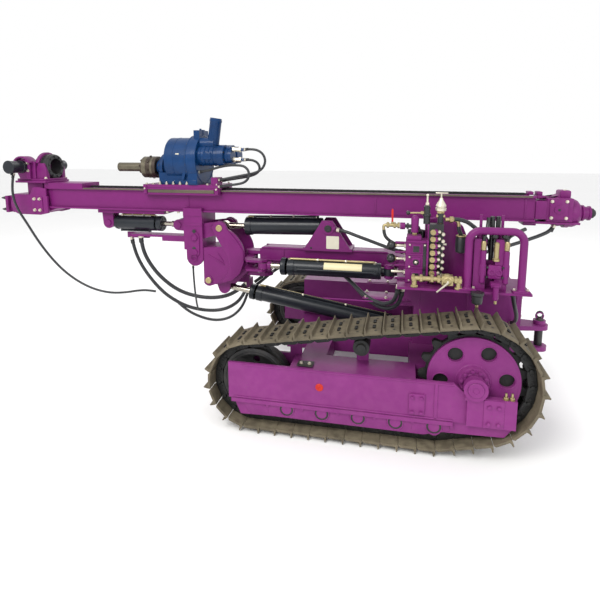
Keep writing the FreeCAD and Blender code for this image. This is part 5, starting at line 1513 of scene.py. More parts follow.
@dataclass
class TravelValves:
    """What stands on the two travel valves inside the hand rail, and the parts under them."""

    front: float = 0.59
    columns: tuple[float, float] = (-1.641, -1.781)

    def build(self) -> None:
        """Make the columns, knobs, castings and the hoses' upright ends."""
        form = Form("travel_valve_details")
        y = self.front
        form.paint(Surface.PURPLE)
        for x in self.columns:
            form.lathe((x, y, 1.045), UP, mm(0, 0, 0, 14, 6, 18, 205, 18.5, 212, 15, 214, 0), 24)
            form.box((x - 0.021, y - 0.02, 1.09), (x + 0.021, y + 0.012, 1.17), 0.006)
        form.box((-1.756, y - 0.02, 1.075), (-1.672, y + 0.016, 1.165), 0.012)
        for x in (-1.694, -1.737):
            form.ring((x, y + 0.012, 1.118), LEFT, 0.017, 0.008, 24, 8)
        form.lathe(
            (-1.715, 0.662, 0.955), UP, mm(0, 0, 0, 13, 6, 17.5, 85, 17.5, 90, 24, 102, 24, 104, 0), 24)
        form.box((-1.745, 0.598, 1.034), (-1.685, 0.668, 1.062), 0.008)
        form.paint(Surface.BRASS)
        for x in self.columns:
            form.lathe((x, y, 1.258), UP, mm(0, 12, 4, 16.5, 50, 16.5, 60, 12, 66, 0), 20)
        form.lathe(
            (-1.722, y - 0.01, 1.19), UP, mm(0, 0, 0, 23, 14, 24, 18, 17.5, 115, 17, 124, 10, 124, 0), 24)
        form.bar((-1.715, 0.662, 0.932), (-1.715, 0.662, 0.958), 0.0085, 6, 0.001)
        form.bar((-1.606, 0.668, 0.905), (-1.606, 0.668, 0.93), 0.01, 6, 0.001)
        form.paint(Surface.KNOB)
        for x in (-1.704, -1.766):
            form.ball((x, y + 0.004, 1.352), 0.0215, 12)
            form.bar((x, y - 0.014, 1.29), (x, y + 0.002, 1.345), 0.0065, 10)
        for x in (-1.735, -1.7):
            form.bar((x, 0.512, 1.182), (x, 0.512, 1.4665), 0.0158, 20, 0.002)
        form.pipe(((-1.641, y, 1.318), (-1.641, y, 1.345), (-1.655, y - 0.02, 1.372), (-1.668, y - 0.05, 1.4),
                   (-1.672, y - 0.06, 1.46)), 0.012)
        form.pipe(((-1.781, y, 1.318), (-1.781, y, 1.34), (-1.81, y - 0.03, 1.355), (-1.86, y - 0.06, 1.375),
                   (-1.9, y - 0.08, 1.39)), 0.012)
        form.lathe((-1.606, 0.668, 0.925), UP, mm(0, 0, 0, 20, 8, 32, 55, 35, 62, 41, 80, 41, 82, 0), 26)
        form.box((-1.622, 0.63, 0.992), (-1.59, 0.668, 1.004), 0.002)
        form.paint(Surface.DARK)
        form.bolts(product((-1.762, -1.668), (y + 0.01,), (1.088, 1.152)), LEFT, 0.012, 0.008, washer=False)
        form.finish("chassis")


@dataclass
class HandRail:
    """The rail's foot plates and the bolts in them."""

    feet: tuple[float, float] = (-1.55, -1.875)

    def build(self) -> None:
        """Make the foot plates."""
        form = Form("hand_rail_feet", Surface.PURPLE)
        for x in self.feet:
            form.box((x - 0.052, 0.565, 0.9995), (x + 0.052, 0.644, 1.012), 0.003)
            form.lathe((x, 0.605, 1.011), UP, mm(0, 30, 4, 28, 8, 24.5, 8, 24), 28)
        form.paint(Surface.ZINC)
        form.bolts(
            [(x + shift, 0.605, 1.012) for x, shift in product(self.feet, (-0.04, 0.04))], UP, 0.014, 0.009)
        form.finish("chassis")


@dataclass
class AirLine:
    """Nuts, the lever and the tap's body along the brass air line, and the air filter's ends."""

    y: float = 0.62
    z: float = 1.06

    def build(self) -> None:
        """Make the air line's fittings."""
        form = Form("air_line_fittings", Surface.BRASS)
        for x in (-1.505, -1.478, -1.372, -1.33, -1.262, -1.212):
            form.bar((x - 0.009, self.y, self.z), (x + 0.009, self.y, self.z), 0.0265, 6, 0.0025)
        form.lathe((-1.425, self.y + 0.03, self.z), LEFT, mm(0, 30, 4, 28, 8, 18, 18, 16, 20, 0), 24)
        form.ball((-1.425, self.y, self.z), 0.041, 14)
        for x in (-1.495, -1.22):
            form.bar((x, self.y, 1.0), (x, self.y, 1.016), 0.0255, 6, 0.0025)
        form.paint(Surface.ZINC)
        form.prism(mm(-1430, 1056, -1418, 1052, -1355, 992, -1362, 984, -1430, 1048),
                   self.y + 0.05, self.y + 0.054, 0.001)
        form.bolt((-1.425, self.y + 0.049, self.z), LEFT, 0.012, 0.008, washer=False)
        form.finish("chassis")
        form = Form("air_filter_ends", Surface.DARK)
        form.lathe((-1.23, 0.33, 1.325), UP, mm(0, 60, 5, 58, 12, 30, 30, 24, 36, 16, 36, 0), 30)
        for height, radius, thick in ((1.285, 0.0545, 0.006), (1.03, 0.0515, 0.005)):
            form.ring((-1.23, 0.33, height), UP, radius, thick, 36, 8)
        form.finish("chassis")


# Mast, its ends and the rotary head

@dataclass
class RodClamp:
    """The clamp at the mast's front: its ring, cross cylinders, guards and base."""

    x: float = 1.985
    z: float = 1.745
    cross_x: float = 2.149

    def build(self) -> None:
        """Make the clamp."""
        x, z, cross = self.x, self.z, self.cross_x
        form = Form("rod_clamp_dressed", Surface.PURPLE)
        form.box((x - 0.06, -0.15, 1.604), (x + 0.25, 0.15, 1.622), 0.004)
        form.box((x - 0.055, -0.135, 1.62), (x + 0.24, 0.135, 1.641), 0.006)
        form.plates(((x - 0.05, 1.635), (x - 0.05, z - 0.02), (x - 0.03, z + 0.03), (x + 0.03, z + 0.03),
                     (x + 0.05, z - 0.02), (x + 0.05, 1.635)), 0.118, 0.078, 0.004)
        form.plates(
            ((cross - 0.075, 1.636), (cross - 0.075, z + 0.02), (cross - 0.05, z + 0.066),
            (cross + 0.03, z + 0.066), (cross + 0.06, z + 0.02), (cross + 0.06, 1.7), (cross + 0.03, 1.636)),
            0.15, 0.125, 0.004)
        form.plates(band((cross - 0.01, z), 0.076, 0.092, 22, 158), 0.175, 0.08, 0.003)
        form.box((x + 0.056, -0.124, 1.636), (cross - 0.052, 0.124, z + 0.045), 0.006)
        form.prism(
            ((cross - 0.06, 1.636), (cross - 0.06, z + 0.03), (cross + 0.02, z + 0.03), (cross + 0.045, 1.69),
            (cross + 0.02, 1.636)), -0.118, 0.118, 0.004)
        form.prism(band((0.0, z), 0.103, 0.125, 15, 165), x + 0.02, x + 0.052, 0.003, plane="YZ")
        form.paint(Surface.DARK)
        form.lathe(
            (x - 0.055, 0, z), AHEAD, mm(0, 70.5, 0, 98, 6, 104, 20, 104, 24, 108, 46, 108, 50, 101, 72, 101,
            76, 107, 100, 107, 110, 100, 110, 70.5, 0, 70.5), 48)
        form.bolts(around(10, 0.087, (x - 0.055, 0, z), "X", 0.2), BACK, 0.015, 0.009, washer=False)
        for spot in around(4, 0.0975, (x - 0.02, 0, z), "X", 0.785):
            form.box(spot - Vector((0.02, 0.011, 0.011)), spot + Vector((0.03, 0.011, 0.011)), 0.003)
        form.box((x - 0.05, -0.04, 1.64), (x + 0.05, 0.04, z - 0.095), 0.004)
        form.paint(Surface.BLACK)
        for side in SIDES:
            form.lathe(
                (cross, side * 0.12, z), (0, side, 0), mm(0, 0, 0, 50, 20, 50, 24, 55.5, 60, 55.5, 64, 52.5,
                166, 52.5, 170, 56, 178, 56, 180, 53, 180.1, 0), 36)
            form.bar((cross, side * 0.268, z - 0.05), (cross, side * 0.268, z - 0.068), 0.012, 6)
        form.lathe((cross, -0.298, z), (0, -1, 0), mm(0, 0, 0, 48, 60, 48, 66, 43, 68, 0), 36)
        form.paint(Surface.ZINC)
        form.side_bolts([(cross + along, 0.15, z + rise) for along, rise in (
            (-0.058, -0.035), (-0.058, 0.03), (0.044, -0.035), (0.04, 0.03))], 0.017, 0.01)
        form.bolts(product((x - 0.04, x + 0.21), (-0.118, 0.118), (1.641,)), UP, 0.02, 0.012)
        form.finish("mast", "rod_clamp")


@dataclass
class MastFoot:
    """The foot at the mast's front: rounded cheeks, a core, the end plate and its two prongs."""

    front: float = 1.968

    def build(self) -> None:
        """Make the foot."""
        f = self.front
        form = Form("mast_foot_dressed", Surface.PURPLE)
        outline = []
        for step in range(11):
            angle = math.radians(-96 + 186 * step / 10)
            outline.append((f + 0.25 + 0.09 * math.cos(angle), 1.412 + 0.09 * math.sin(angle)))
        outline += [
            (f + 0.06, 1.501), (f + 0.012, 1.488), (f - 0.04, 1.488), (f - 0.04, 1.338), (f + 0.04, 1.321)]
        form.plates(outline, 0.12, 0.142, 0.004)
        form.boxes((f + 0.006, 0.14, 1.345), (f + 0.112, 0.15, 1.483), 0.004)
        form.plates(
            ((f - 0.03, 1.48), (f - 0.03, 1.552), (f + 0.03, 1.566), (f + 0.1, 1.566), (f + 0.15, 1.48)),
            0.121, 0.141, 0.004)
        form.box((f + 0.03, -0.1, 1.495), (f + 0.19, 0.1, 1.606), 0.006)
        form.box((f, -0.121, 1.335), (f + 0.345, 0.121, 1.5), 0.003)
        form.prism(
            ((f - 0.11, 1.3815), (f + 0.0, 1.3815), (f + 0.2, 1.345), (f - 0.01, 1.345)), -0.1, 0.1, 0.003)
        form.prism(
            ((f + 0.31, 1.338), (f + 0.31, 1.49), (f + 0.36, 1.474), (f + 0.4, 1.474), (f + 0.4, 1.338)),
            -0.085, 0.085, 0.004)
        form.box((f + 0.4, -0.11, 1.33), (f + 0.43, 0.11, 1.48), 0.004)
        form.paint(Surface.DARK)
        for seat in product((f + 0.428,), (-0.062, 0.062), (1.352, 1.456)):
            form.lathe(seat, AHEAD, mm(0, 0, 0, 21, 12, 21, 14, 15, 50, 14, 83, 5, 85, 0), 18)
        form.paint(Surface.ZINC)
        form.side_bolts(product((f + 0.032, f + 0.086), (0.15,), (1.365, 1.463)), 0.019, 0.011)
        form.finish("mast", "mast_foot")


@dataclass
class MastBeam:
    """Seams, flanges' edges and caps along the mast's beam."""

    links: int = 150
    pitch: float = 0.0238

    def build(self) -> None:
        """Make the details on the beam."""
        form = Form("mast_beam_details", Surface.PURPLE)
        for x in (1.93, 0.61, -0.93, -1.99):
            form.boxes((x - 0.006, 0.0945, 1.398), (x + 0.006, 0.099, 1.55), 0.0015)
        for z in (1.3965, 1.5455):
            form.boxes((-2.05, 0.094, z), (1.965, 0.1005, z + 0.006), 0.0015)
        form.box((1.6, -0.085, 1.5655), (1.96, 0.085, 1.582), 0.005)
        form.box((1.585, -0.07, 1.5655), (1.605, 0.07, 1.6), 0.004)
        form.paint(Surface.OLIVE)
        form.boxes((-2.03, 0.1182, 1.554), (1.58, 0.1192, 1.5655))
        form.paint(Surface.ZINC)
        form.bolts(product((1.63, 1.75, 1.93), (-0.055, 0.055), (1.582,)), UP, 0.018, 0.011)
        form.finish("mast")
        chain = Form("feed_chain_links", Surface.CHAIN)
        for index in range(self.links):
            x = -1.99 + self.pitch * index
            for y in ((-0.013, 0.013) if index % 2 else (-0.0185, 0.0185)):
                chain.box((x - 0.0155, y - 0.002, 1.5665), (x + 0.0155, y + 0.002, 1.5785))
            chain.bar((x + 0.0119, -0.0215, 1.5725), (x + 0.0119, 0.0215, 1.5725), 0.0035, 8)
        chain.finish("mast")


@dataclass
class FeedMotor:
    """The motor, gearbox and bearings at the mast's rear end."""

    rear: float = -2.055
    axis_z: float = 1.44

    def build(self) -> None:
        """Make the feed motor with its gearbox."""
        r, z = self.rear, self.axis_z
        form = Form("feed_motor_dressed", Surface.PURPLE)
        form.box((r - 0.1, -0.105, 1.4), (r - 0.002, 0.105, 1.53), 0.003)
        form.box((r - 0.245, -0.108, 1.385), (r - 0.075, 0.108, 1.552), 0.004)
        form.plates(
            ((r - 0.2, 1.4), (r - 0.21, 1.412), (r - 0.21, 1.53), (r - 0.198, 1.545), (r - 0.098, 1.545),
            (r - 0.09, 1.53), (r - 0.09, 1.412), (r - 0.1, 1.4)), 0.107, 0.1215, 0.004)
        for side in SIDES:
            form.lathe(
                (r - 0.15, side * 0.12, 1.472), (0, side, 0), mm(0, 0, 0, 32, 6, 31, 8, 22, 8.1, 0), 30)
        form.lathe(
            (r - 0.21, 0, z), BACK, mm(0, 0, 0, 108, 30, 108, 34, 103, 60, 103, 85, 92, 104, 70, 108, 56, 116,
            50, 120, 58, 132, 58, 136, 48, 160, 46, 164, 52, 176, 52, 180, 34, 182, 0), 40)
        form.box((r - 0.243, -0.055, 1.54), (r - 0.168, 0.055, 1.604), 0.012)
        form.prism(
            ((r - 0.17, 1.54), (r - 0.17, 1.575), (r - 0.12, 1.548), (r - 0.06, 1.566), (r - 0.02, 1.566),
            (r - 0.02, 1.54)), -0.055, 0.055, 0.004)
        for x in (r - 0.265, r - 0.17):
            form.lathe((x, 0, 1.345), UP, mm(0, 0, 0, 30, 6, 38, 20, 44, 50, 44, 50, 0), 28)
        form.box((r - 0.3, -0.1, 1.3655), (r + 0.072, 0.1, 1.3815), 0.003)
        form.box((r - 0.02, -0.07, 1.3485), (r + 0.068, 0.07, 1.367), 0.004)
        for x in (r - 0.058, r + 0.002):
            form.box((x, -0.04, 1.566), (x + 0.036, 0.04, 1.5915), 0.004)
        form.paint(Surface.DARK)
        form.lathe((r - 0.386, 0, z), BACK, mm(0, 33, 8, 36, 22, 35, 26, 28, 34, 24, 39.5, 12, 40, 0), 24)
        for side in SIDES:
            form.lathe((r - 0.15, side * 0.128, 1.472), (0, side, 0), mm(-1, 9, 1, 9, 1.2, 0), 18)
        form.paint(Surface.ZINC)
        form.side_bolts(product((r - 0.198, r - 0.102), (0.1215,), (1.414, 1.531)), 0.016, 0.009)
        form.bar((r - 0.205, 0.03, 1.603), (r - 0.205, 0.03, 1.609), 0.012, 6)
        form.finish("mast", "feed_motor")


@dataclass
class RotaryHead:
    """The gearbox casting, its motors and the coupling on the spindle."""

    z: float = 1.745
    rise: float = 0.067
    motor_rise: float = 0.097

    def _gearbox(self, form: Form) -> None:
        """Add the ribs, lips and bolts of the gearbox.

        Args:
            form: the piece that gathers the shapes.
        """
        centre = self.z + self.rise
        form.paint(Surface.BLUE)
        for x, z, radius, thick, steps, sides in (
                (0.762, centre, 0.174, 0.005, 56, 8), (0.578, centre, 0.1925, 0.0045, 60, 8),
                (0.497, centre, 0.1925, 0.0045, 60, 8), (0.7, centre, 0.1775, 0.0028, 56, 6),
                (0.853, self.z, 0.1105, 0.0035, 44, 6)):
            form.ring((x, 0, z), AHEAD, radius, thick, steps, sides)
        form.lathe((0.774, 0, centre), AHEAD, mm(0, 165, 6, 160, 12, 130, 18, 120, 18, 0), 44)
        form.boxes((0.5, 0.138, 1.615), (0.57, 0.166, 1.648), 0.006)
        form.plates(mm(560, 1608, 560, 1700, 600, 1650, 840, 1650, 850, 1608), 0.112, 0.126, 0.003)
        form.plates(mm(590, 1740, 620, 1650, 640, 1650, 620, 1760), 0.13, 0.145, 0.003)
        form.box((0.494, -0.028, 2.0), (0.514, 0.028, 2.055), 0.006)
        form.bar((0.506, 0.045, 2.0), (0.506, 0.045, 2.062), 0.009, 14, 0.002)
        form.paint(Surface.DARK)
        form.bolts(around(20, 0.182, (0.576, 0, centre), "X", 0.1), AHEAD, 0.016, 0.01)
        form.bolts(around(10, 0.099, (0.852, 0, self.z), "X", 0.2), AHEAD, 0.016, 0.011)
        form.paint(Surface.ZINC)
        form.bolts(product((0.6, 0.66, 0.72, 0.78, 0.84), (-0.1335, 0.1335), (1.6085,)), UP, 0.018, 0.013,
                   thread=0.01)
        form.paint(Surface.PLATE)
        turned = Matrix.Rotation(math.radians(-14), 4, "X")
        form.box((0.642, 0.168, 1.838), (0.672, 0.1725, 1.864), 0.001, turn=turned)

    def _motors(self, form: Form) -> None:
        """Add the ribs, port blocks and bolts of the motors.

        Args:
            form: the piece that gathers the shapes.
        """
        height = self.z + self.motor_rise
        for side in SIDES:
            y = side * 0.082
            form.paint(Surface.BLUE)
            for x in (0.325, 0.36, 0.395, 0.43, 0.465):
                form.ring((x, y, height), AHEAD, 0.0805, 0.0042, 40)
            form.lathe((0.302, y, height), BACK, mm(0, 88, 30, 88, 34, 64, 60, 66, 63, 56, 83, 50, 86, 0), 32)
            form.box((0.225, y - 0.028, height - 0.06), (0.275, y + 0.028, height + 0.075), 0.008)
            form.paint(Surface.DARK)
            form.bolts(around(8, 0.0765, (0.275, y, height), "X", 0.39), BACK, 0.013, 0.009, washer=False)
        form.paint(Surface.BLUE)
        form.box((0.37, 0.125, height - 0.03), (0.44, 0.168, height + 0.03), 0.008)
        form.lathe(
            (0.394, 0.06, height + 0.074), (-0.148, 0, 0.989), mm(0, 0, 0, 47, 12, 49.5, 26, 49.5, 30, 46.8,
            196, 46.8, 200, 49.2, 218, 49.2, 224, 45, 226.5, 0), 32)
        form.box((0.4, 0.02, height + 0.07), (0.475, 0.1, height + 0.13), 0.01)
        form.paint(Surface.ZINC)
        for z in (height - 0.03, height + 0.05):
            form.lathe(
                (0.214, 0.082, z), BACK, mm(0, 0, 0, 22, 14, 22, 16, 16.5, 50, 16.5, 52, 21, 68, 21, 70, 14.2,
                92, 14.2, 92, 0), 6)

    def build(self) -> None:
        """Make the head's details and the coupling."""
        form = Form("gearbox_details")
        self._gearbox(form)
        form.finish("carriage")
        form = Form("head_motor_details")
        self._motors(form)
        form.finish("carriage")
        form = Form("spindle_coupling", Surface.COUPLING)
        form.lathe(
            (0.91, 0, self.z), AHEAD, mm(0, 40, 0, 88, 4, 91.5, 30, 91.5, 34, 83, 46, 83, 50, 91.5, 88, 91.5,
            92, 87, 130, 90.5, 132, 86, 132, 38.4), 44)
        form.ring((1.281, 0, self.z), AHEAD, 0.0365, 0.0022, 32)
        form.bolts(around(8, 0.066, (1.042, 0, self.z), "X", 0.2), AHEAD, 0.022, 0.014, thread=0.008)
        for spot in around(8, 0.089, (0.977, 0, self.z), "X", 0.55):
            way = (spot - Vector((0.977, 0, self.z))).normalized()
            form.bolt(spot, way, 0.017, 0.011, washer=False)
        form.finish("spindle")


@dataclass
class Carriage:
    """The carriage's slide strips, bolts and the hose guide at its rear."""

    half: float = 0.146

    def build(self) -> None:
        """Make the carriage's details."""
        form = Form("carriage_details", Surface.OLIVE)
        form.boxes((0.36, self.half, 1.5415), (0.945, self.half + 0.006, 1.5665), 0.002)
        form.paint(Surface.PURPLE)
        form.boxes((0.35, self.half, 1.5675), (0.955, self.half + 0.006, 1.5805), 0.002)
        for x in (0.335, 0.965):
            form.boxes((x - 0.014, 0.145, 1.53), (x + 0.014, 0.158, 1.6), 0.004)
        form.paint(Surface.ZINC)
        form.side_bolts(product((0.335, 0.965), (0.158,), (1.575,)), 0.013, 0.008, washer=False)
        form.bolts(product((0.34, 0.42, 0.52, 0.9, 0.96), (-0.135, 0.135), (1.608,)), UP, 0.016, 0.01)
        form.finish("carriage")


# Boom, its cylinders and the hitch

@dataclass
class Cylinder:
    """What shows on one cylinder beyond its plain nodes: gland, cap, ports, oil line and its rod's gland."""

    name: str
    body: str
    start: Point
    end: Point
    barrel: float
    radius: float
    rod: float
    up: Point = UP
    labelled: bool = False
    cap: bool = True

    def build(self) -> None:
        """Make the cylinder's details."""
        start, end = Vector(self.start), Vector(self.end)
        way = (end - start).normalized()
        out = (Vector(self.up) - way * way.dot(Vector(self.up))).normalized()
        r, head = self.radius, 0.06 + self.barrel
        form = Form(self.name + "_details", Surface.BLACK)
        form.lathe(
            start, way,
            ((head - 0.075, r + 0.0005), (head - 0.073, r + 0.004), (head - 0.056, r + 0.004),
            (head - 0.054, r + 0.0005)), 44)
        if self.cap:
            form.lathe(
                start, way,
                ((head - 0.04, r + 0.0055), (head - 0.038, r + 0.0064), (head - 0.004, r + 0.0064),
                (head + 0.0015, r + 0.002), (head + 0.002, 0.6 * r), (head + 0.005, 0.6 * r),
                (head + 0.005, self.rod + 0.001)), 44)
        form.ring(start + way * 0.075, way, r + 0.0002, 0.0028, 44)
        form.paint(Surface.DARK)
        for step in range(6 if self.cap else 0):
            angle = TURN * step / 6 + 0.3
            side = out * math.cos(angle) + way.cross(out) * math.sin(angle)
            form.bolt(start + way * (head + 0.002) + side * 0.78 * r, way, 0.014, 0.004, washer=False)
        form.paint(Surface.BRASS)
        high, low = r + 0.0108, r - 0.004
        first, last = 0.105, self.barrel - 0.01
        form.pipe(
            [start + way * along + out * rise for along, rise in ((first, low), (first, high),
            (first + 0.03, high), (last - 0.03, high), (last, high), (last, low))], 0.0085)
        form.paint(Surface.ZINC)
        for along in (first, last):
            place = start + way * along + out * (r - 0.003)
            form.bar(place, place + out * 0.013, 0.0135, 6)
        for share in (0.33, 0.66):
            place = start + way * (first + (last - first) * share) + out * high
            form.bar(place - way * 0.008, place + way * 0.008, 0.0105, 8, 0.001)
        if self.labelled:
            form.paint(Surface.LABEL)
            form.prism(band((start.y, start.z), r - 0.001, r + 0.0014, 4, 58), start.x + 0.2, start.x + 0.49,
                       plane="YZ")
        form.finish(self.body)


CYLINDERS = (
    Cylinder("lift_cylinder", "lift_barrel", (-1.15, 0, 0.49), (0.32, 0, 0.738), 1.215, 0.06, 0.024),
    Cylinder("tilt_cylinder", "tilt_barrel", (-0.565, 0, 1.28), (0.328, 0, 1.258), 0.697, 0.07, 0.023,
             cap=False),
    Cylinder("swing_cylinder", "swing_barrel", (-1.046, 0.19, 0.982), (-0.062, 0.19, 0.982), 0.775, 0.062,
             0.022, (0, 0.3, 0.95), True),
    Cylinder("extend_cylinder", "mast", (1.4, 0, 1.258), (0.735, 0, 1.258), 0.44, 0.06, 0.02),
)


@dataclass
class BoomDetails:
    """Seams, pins and the bare plate on the boom, the swing rod's eye, the sector plates and the bracket."""

    half: float = 0.064
    gusset: float = 0.1
    sector_out: float = 0.132
    boss_out: float = 0.155
    rim_out: float = 0.148

    def pin(self, form: Form, spot: Point, side: int, radius: float, high: float) -> None:
        """Add a pin's end disc."""
        form.lathe(
            spot, (0, side, 0),
            ((-0.002, radius), (high - 0.002, radius), (high, radius - 0.003), (high, 0.4 * radius),
            (high - 0.002, 0.36 * radius), (high - 0.002, 0)), 30)

    def _boom(self) -> None:
        """Make what shows on the boom."""
        form = Form("boom_details", Surface.PURPLE)
        near, far = self.half - 0.001, self.half + 0.008
        for back, front, low, high in ((-1.03, -0.012, 1.092, 1.106), (-1.03, -0.012, 0.994, 1.006),
                                       (-0.2, -0.188, 1.006, 1.092)):
            form.boxes((back, near, low), (front, far, high), 0.003)
        for side in SIDES:
            form.lathe((-0.565, side * self.gusset, 1.28), (0, side, 0), mm(-1, 50, 5, 50, 7, 47, 7, 0), 32)
        form.paint(Surface.DARK)
        for side in SIDES:
            self.pin(form, (-0.565, side * (self.gusset + 0.006), 1.28), side, 0.028, 0.009)
            self.pin(form, (-0.43, side * self.gusset, 1.12), side, 0.008, 0.004)
        form.paint(Surface.PLATE)
        form.prism(
            mm(-552, 1122, -552, 1216, -556, 1220, -648, 1220, -652, 1216, -652, 1122, -648, 1118, -556,
            1118), self.gusset - 0.001, self.gusset + 0.0015)
        form.finish("boom")

    def _swing_eye(self) -> None:
        """Make the painted eye of the swing cylinder's rod."""
        form = Form("swing_eye_details", Surface.PURPLE)
        form.lathe((-0.062, 0.19, 0.9585), UP, mm(0, 27, 0, 42.6, 47, 42.6, 47, 27), 36)
        form.lathe((-0.1, 0.19, 0.982), BACK, mm(0, 23.5, 0, 33, 24, 33, 28, 28, 30, 22.5), 28)
        form.finish("swing_rod")

    def _sector(self) -> None:
        """Make the welded arms, ribs and pins of the sector plates."""
        form = Form("sector_details", Surface.PURPLE)
        y = self.sector_out
        form.plates(
            mm(392, 1262, 366, 1302, 318, 1312, 276, 1292, 258, 1250, 180, 1160, 128, 1080, 121, 980, 156,
            886, 226, 824, 300, 800, 330, 806, 260, 880, 244, 960, 262, 1030, 360, 1190), y - 0.001,
            y + 0.009, 0.004)
        for start, end in (((0.29, 0.955), (0.43, 1.03)), ((0.3, 0.98), (0.345, 1.045))):
            form.plates(((start[0], start[1] - 0.006), (end[0], end[1] - 0.006), (end[0], end[1] + 0.006),
                         (start[0], start[1] + 0.006)), y - 0.001, y + 0.006, 0.0015)
        for side in SIDES:
            form.lathe((0.432, side * y, 0.815), (0, side, 0), mm(-1, 36, 5, 36, 7, 33, 7, 0), 30)
        form.paint(Surface.BRASS)
        for side in SIDES:
            self.pin(form, (0.432, side * (y + 0.0105), 0.815), side, 0.026, 0.0058)
            self.pin(form, (0.328, side * (y + 0.0095), 1.258), side, 0.027, 0.0062)
        form.finish("tilt_frame")

    def _bracket(self) -> None:
        """Make the rings, holes and seams of the mast's bracket."""
        form = Form("bracket_details", Surface.PURPLE)
        form.plates(
            mm(490, 1290, 620, 1290, 628, 1278, 628, 1268, 482, 1268, 482, 1278), 0.139, 0.1425, 0.001)
        for side in SIDES:
            form.paint(Surface.PURPLE)
            for x, z in ((0.546, 1.173), (0.552, 1.005)):
                form.ring((x, side * self.boss_out, z), LEFT, 0.026, 0.004, 32)
            form.paint(Surface.DARK)
            for x, z in ((0.545, 1.226), (0.549, 1.082)):
                form.lathe((x, side * self.rim_out, z), (0, side, 0), mm(-1, 15, 1, 15, 1.2, 0), 24)
        form.paint(Surface.ZINC)
        form.bolts(product((0.7, 0.8), (-0.105, 0.105), (1.381,)), DOWN, 0.018, 0.012)
        form.finish("tilt_frame")

    def build(self) -> None:
        """Make every detail."""
        self._boom()
        self._swing_eye()
        self._sector()
        self._bracket()


@dataclass
class ChassisDetails:
    """Covers, seams and bolts on the main frame's blocks, seen from behind and from above."""

    tail: float = -1.96
    block: float = 0.3
    block_top: float = 0.912
    box_top: float = 0.8
    box_out: float = 0.33
    bolt_inset: float = 0.022

    def cover(self, form: Form, low: Point, high: Point, axis: int) -> None:
        """Add a bolted cover plate.

        Args:
            form: the form that it goes into.
            low: its lowest corner.
            high: its highest corner.
            axis: the axis that it faces along, 0 for the rear and 2 for the top.
        """
        form.paint(Surface.PURPLE_LOW)
        form.box(low, high, 0.003)
        form.paint(Surface.ZINC)
        inset = self.bolt_inset
        for shares in product((0, 0.5, 1), (0, 1)):
            spot = [0.0, 0.0, 0.0]
            spot[axis] = low[axis] if axis == 0 else high[axis]
            for side, share in zip([item for item in range(3) if item != axis], shares):
                spot[side] = low[side] + inset + (high[side] - low[side] - 2 * inset) * share
            form.bolt(spot, BACK if axis == 0 else UP, 0.017, 0.01)

    def build(self) -> None:
        """Make the covers, seams, rings and fittings."""
        form = Form("chassis_details")
        tail, top = self.tail, self.block_top
        for near, far in ((-0.26, -0.03), (0.03, 0.26)):
            self.cover(form, (tail - 0.006, near, 0.7), (tail + 0.004, far, 0.88), 0)
        for near, far in ((-0.265, -0.02), (0.02, 0.24)):
            self.cover(form, (-1.92, near, top - 0.004), (-1.62, far, top + 0.006), 2)
        for near, far in ((-0.31, -0.13), (0.13, 0.31)):
            self.cover(form, (-1.2, near, self.box_top - 0.004), (-0.86, far, self.box_top + 0.005), 2)
        form.paint(Surface.PURPLE_LOW)
        near, far = self.block - 0.001, self.block + 0.004
        for x in (-1.93, -1.6, -1.27):
            form.boxes((x - 0.006, near, 0.52), (x + 0.006, far, top - 0.01), 0.0015)
        form.boxes((-1.95, near, top - 0.014), (-1.24, far, top - 0.004), 0.0015)
        form.boxes((-1.22, self.box_out - 0.001, self.box_top - 0.016),
                   (-0.57, self.box_out + 0.004, self.box_top - 0.006), 0.0015)
        for (x, height), y in product(((-1.18, self.box_top), (-1.74, top)), (-0.22, 0.22)):
            form.ring((x, y, height + 0.018), AHEAD, 0.018, 0.006, 24, 8)
        form.box((tail - 0.006, -0.27, 0.505), (tail + 0.002, 0.27, 0.52), 0.0015)
        form.paint(Surface.BRASS)
        for y in (-0.2, -0.16):
            form.bar((tail + 0.004, y, 0.63), (tail - 0.026, y, 0.63), 0.0125, 6)
            form.bar((tail - 0.02, y, 0.63), (tail - 0.04, y, 0.63), 0.009, 14)
        form.paint(Surface.DARK)
        form.lathe((-1.45, -0.15, top - 0.002), UP, mm(0, 50, 12, 50, 14, 43, 30, 43, 34, 40, 34, 0), 28)
        form.finish("chassis")


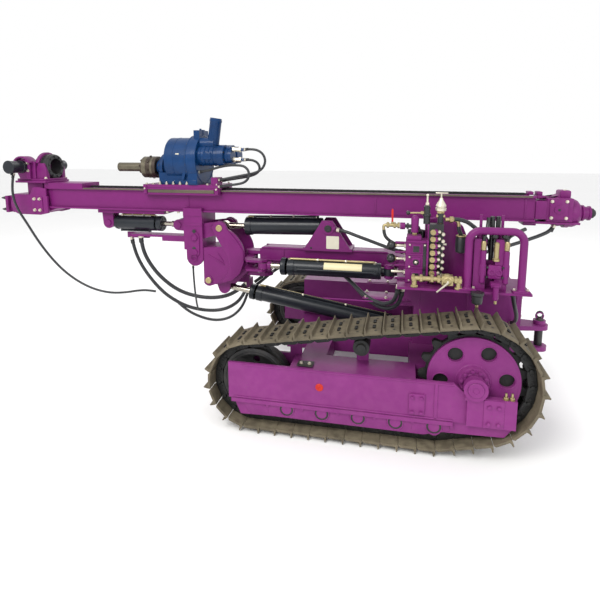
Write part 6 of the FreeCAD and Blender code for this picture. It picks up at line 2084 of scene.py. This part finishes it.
@dataclass
class Hitch:
    """The dark pin with its ring in the rear hitch."""

    x: float = -2.165

    def build(self) -> None:
        """Make the pin and its ring."""
        form = Form("hitch_details", Surface.DARK)
        form.bar((self.x, 0, 0.385), (self.x, 0, 0.628), 0.0288, 28, 0.004)
        form.lathe((self.x, 0, 0.6), UP, mm(0, 28.8, 0, 37, 20, 37, 26, 30, 40, 16, 41, 0), 28)
        form.ring((self.x, 0, 0.666), LEFT, 0.0225, 0.0052, 32, 8)
        form.finish("chassis")


@dataclass(frozen=True)
class NodeFinishes:
    """The finish of every node that shows as it is."""

    plan: tuple = (
        (Surface.PURPLE, ("boom", "boom_head", "sector_plates", "mast_bracket", "mast_beam", "mast_foot",
                          "carriage", "rod_clamp", "feed_motor", "lift_yoke", "tilt_yoke", "travel_valves",
                          "control_stand", "hand_rail", "valve_bank")),
        (Surface.PURPLE_LOW, ("main_frame", "track_frame_left", "track_frame_right", "drive_wheel_left",
                              "drive_wheel_right", "tow_hitch")),
        (Surface.BLUE, ("rotary_head", "head_motors")),
        (Surface.BLACK, ("lift_barrel", "tilt_barrel", "extend_barrel", "boom_pipes", "swing_barrel")),
        (Surface.CHROME, ("lift_rod", "tilt_rod", "swing_rod", "extend_rod")),
        (Surface.DARK, ("idler_left", "idler_right", "travel_motor_left", "travel_motor_right")),
        (Surface.OLIVE, ("spindle",)),
        (Surface.CHAIN, ("feed_chain", "track_left", "track_right")),
        (Surface.KNOB, ("air_filter",)),
        (Surface.BRASS, ("air_line",)),
    )

    def build(self) -> None:
        """Give each node its finish."""
        for surface, nodes in self.plan:
            PAINTS.dress(surface, *nodes)
            LOG.info("%s: %s", surface.value.name, ", ".join(nodes))


ASSEMBLIES = (Tracks, Wheels, TrackFrames, ValveBank, TravelValves, HandRail, AirLine, ChassisDetails,
              BoomDetails, Hitch, MastBeam, MastFoot, RodClamp, FeedMotor, Carriage, RotaryHead)


def main() -> None:
    """Build the rig's looks in order."""
    logging.basicConfig(level=logging.INFO, format="%(name)s: %(message)s")
    FRAME.update(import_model())
    Camera().build()
    HoseSet(HOSES).build()
    Studio().build()
    NodeFinishes().build()
    for part in ASSEMBLIES:
        part().build()
        LOG.info("%s is built", part.__name__)
    for cylinder in CYLINDERS:
        cylinder.build()


if __name__ == "__main__":
    main()
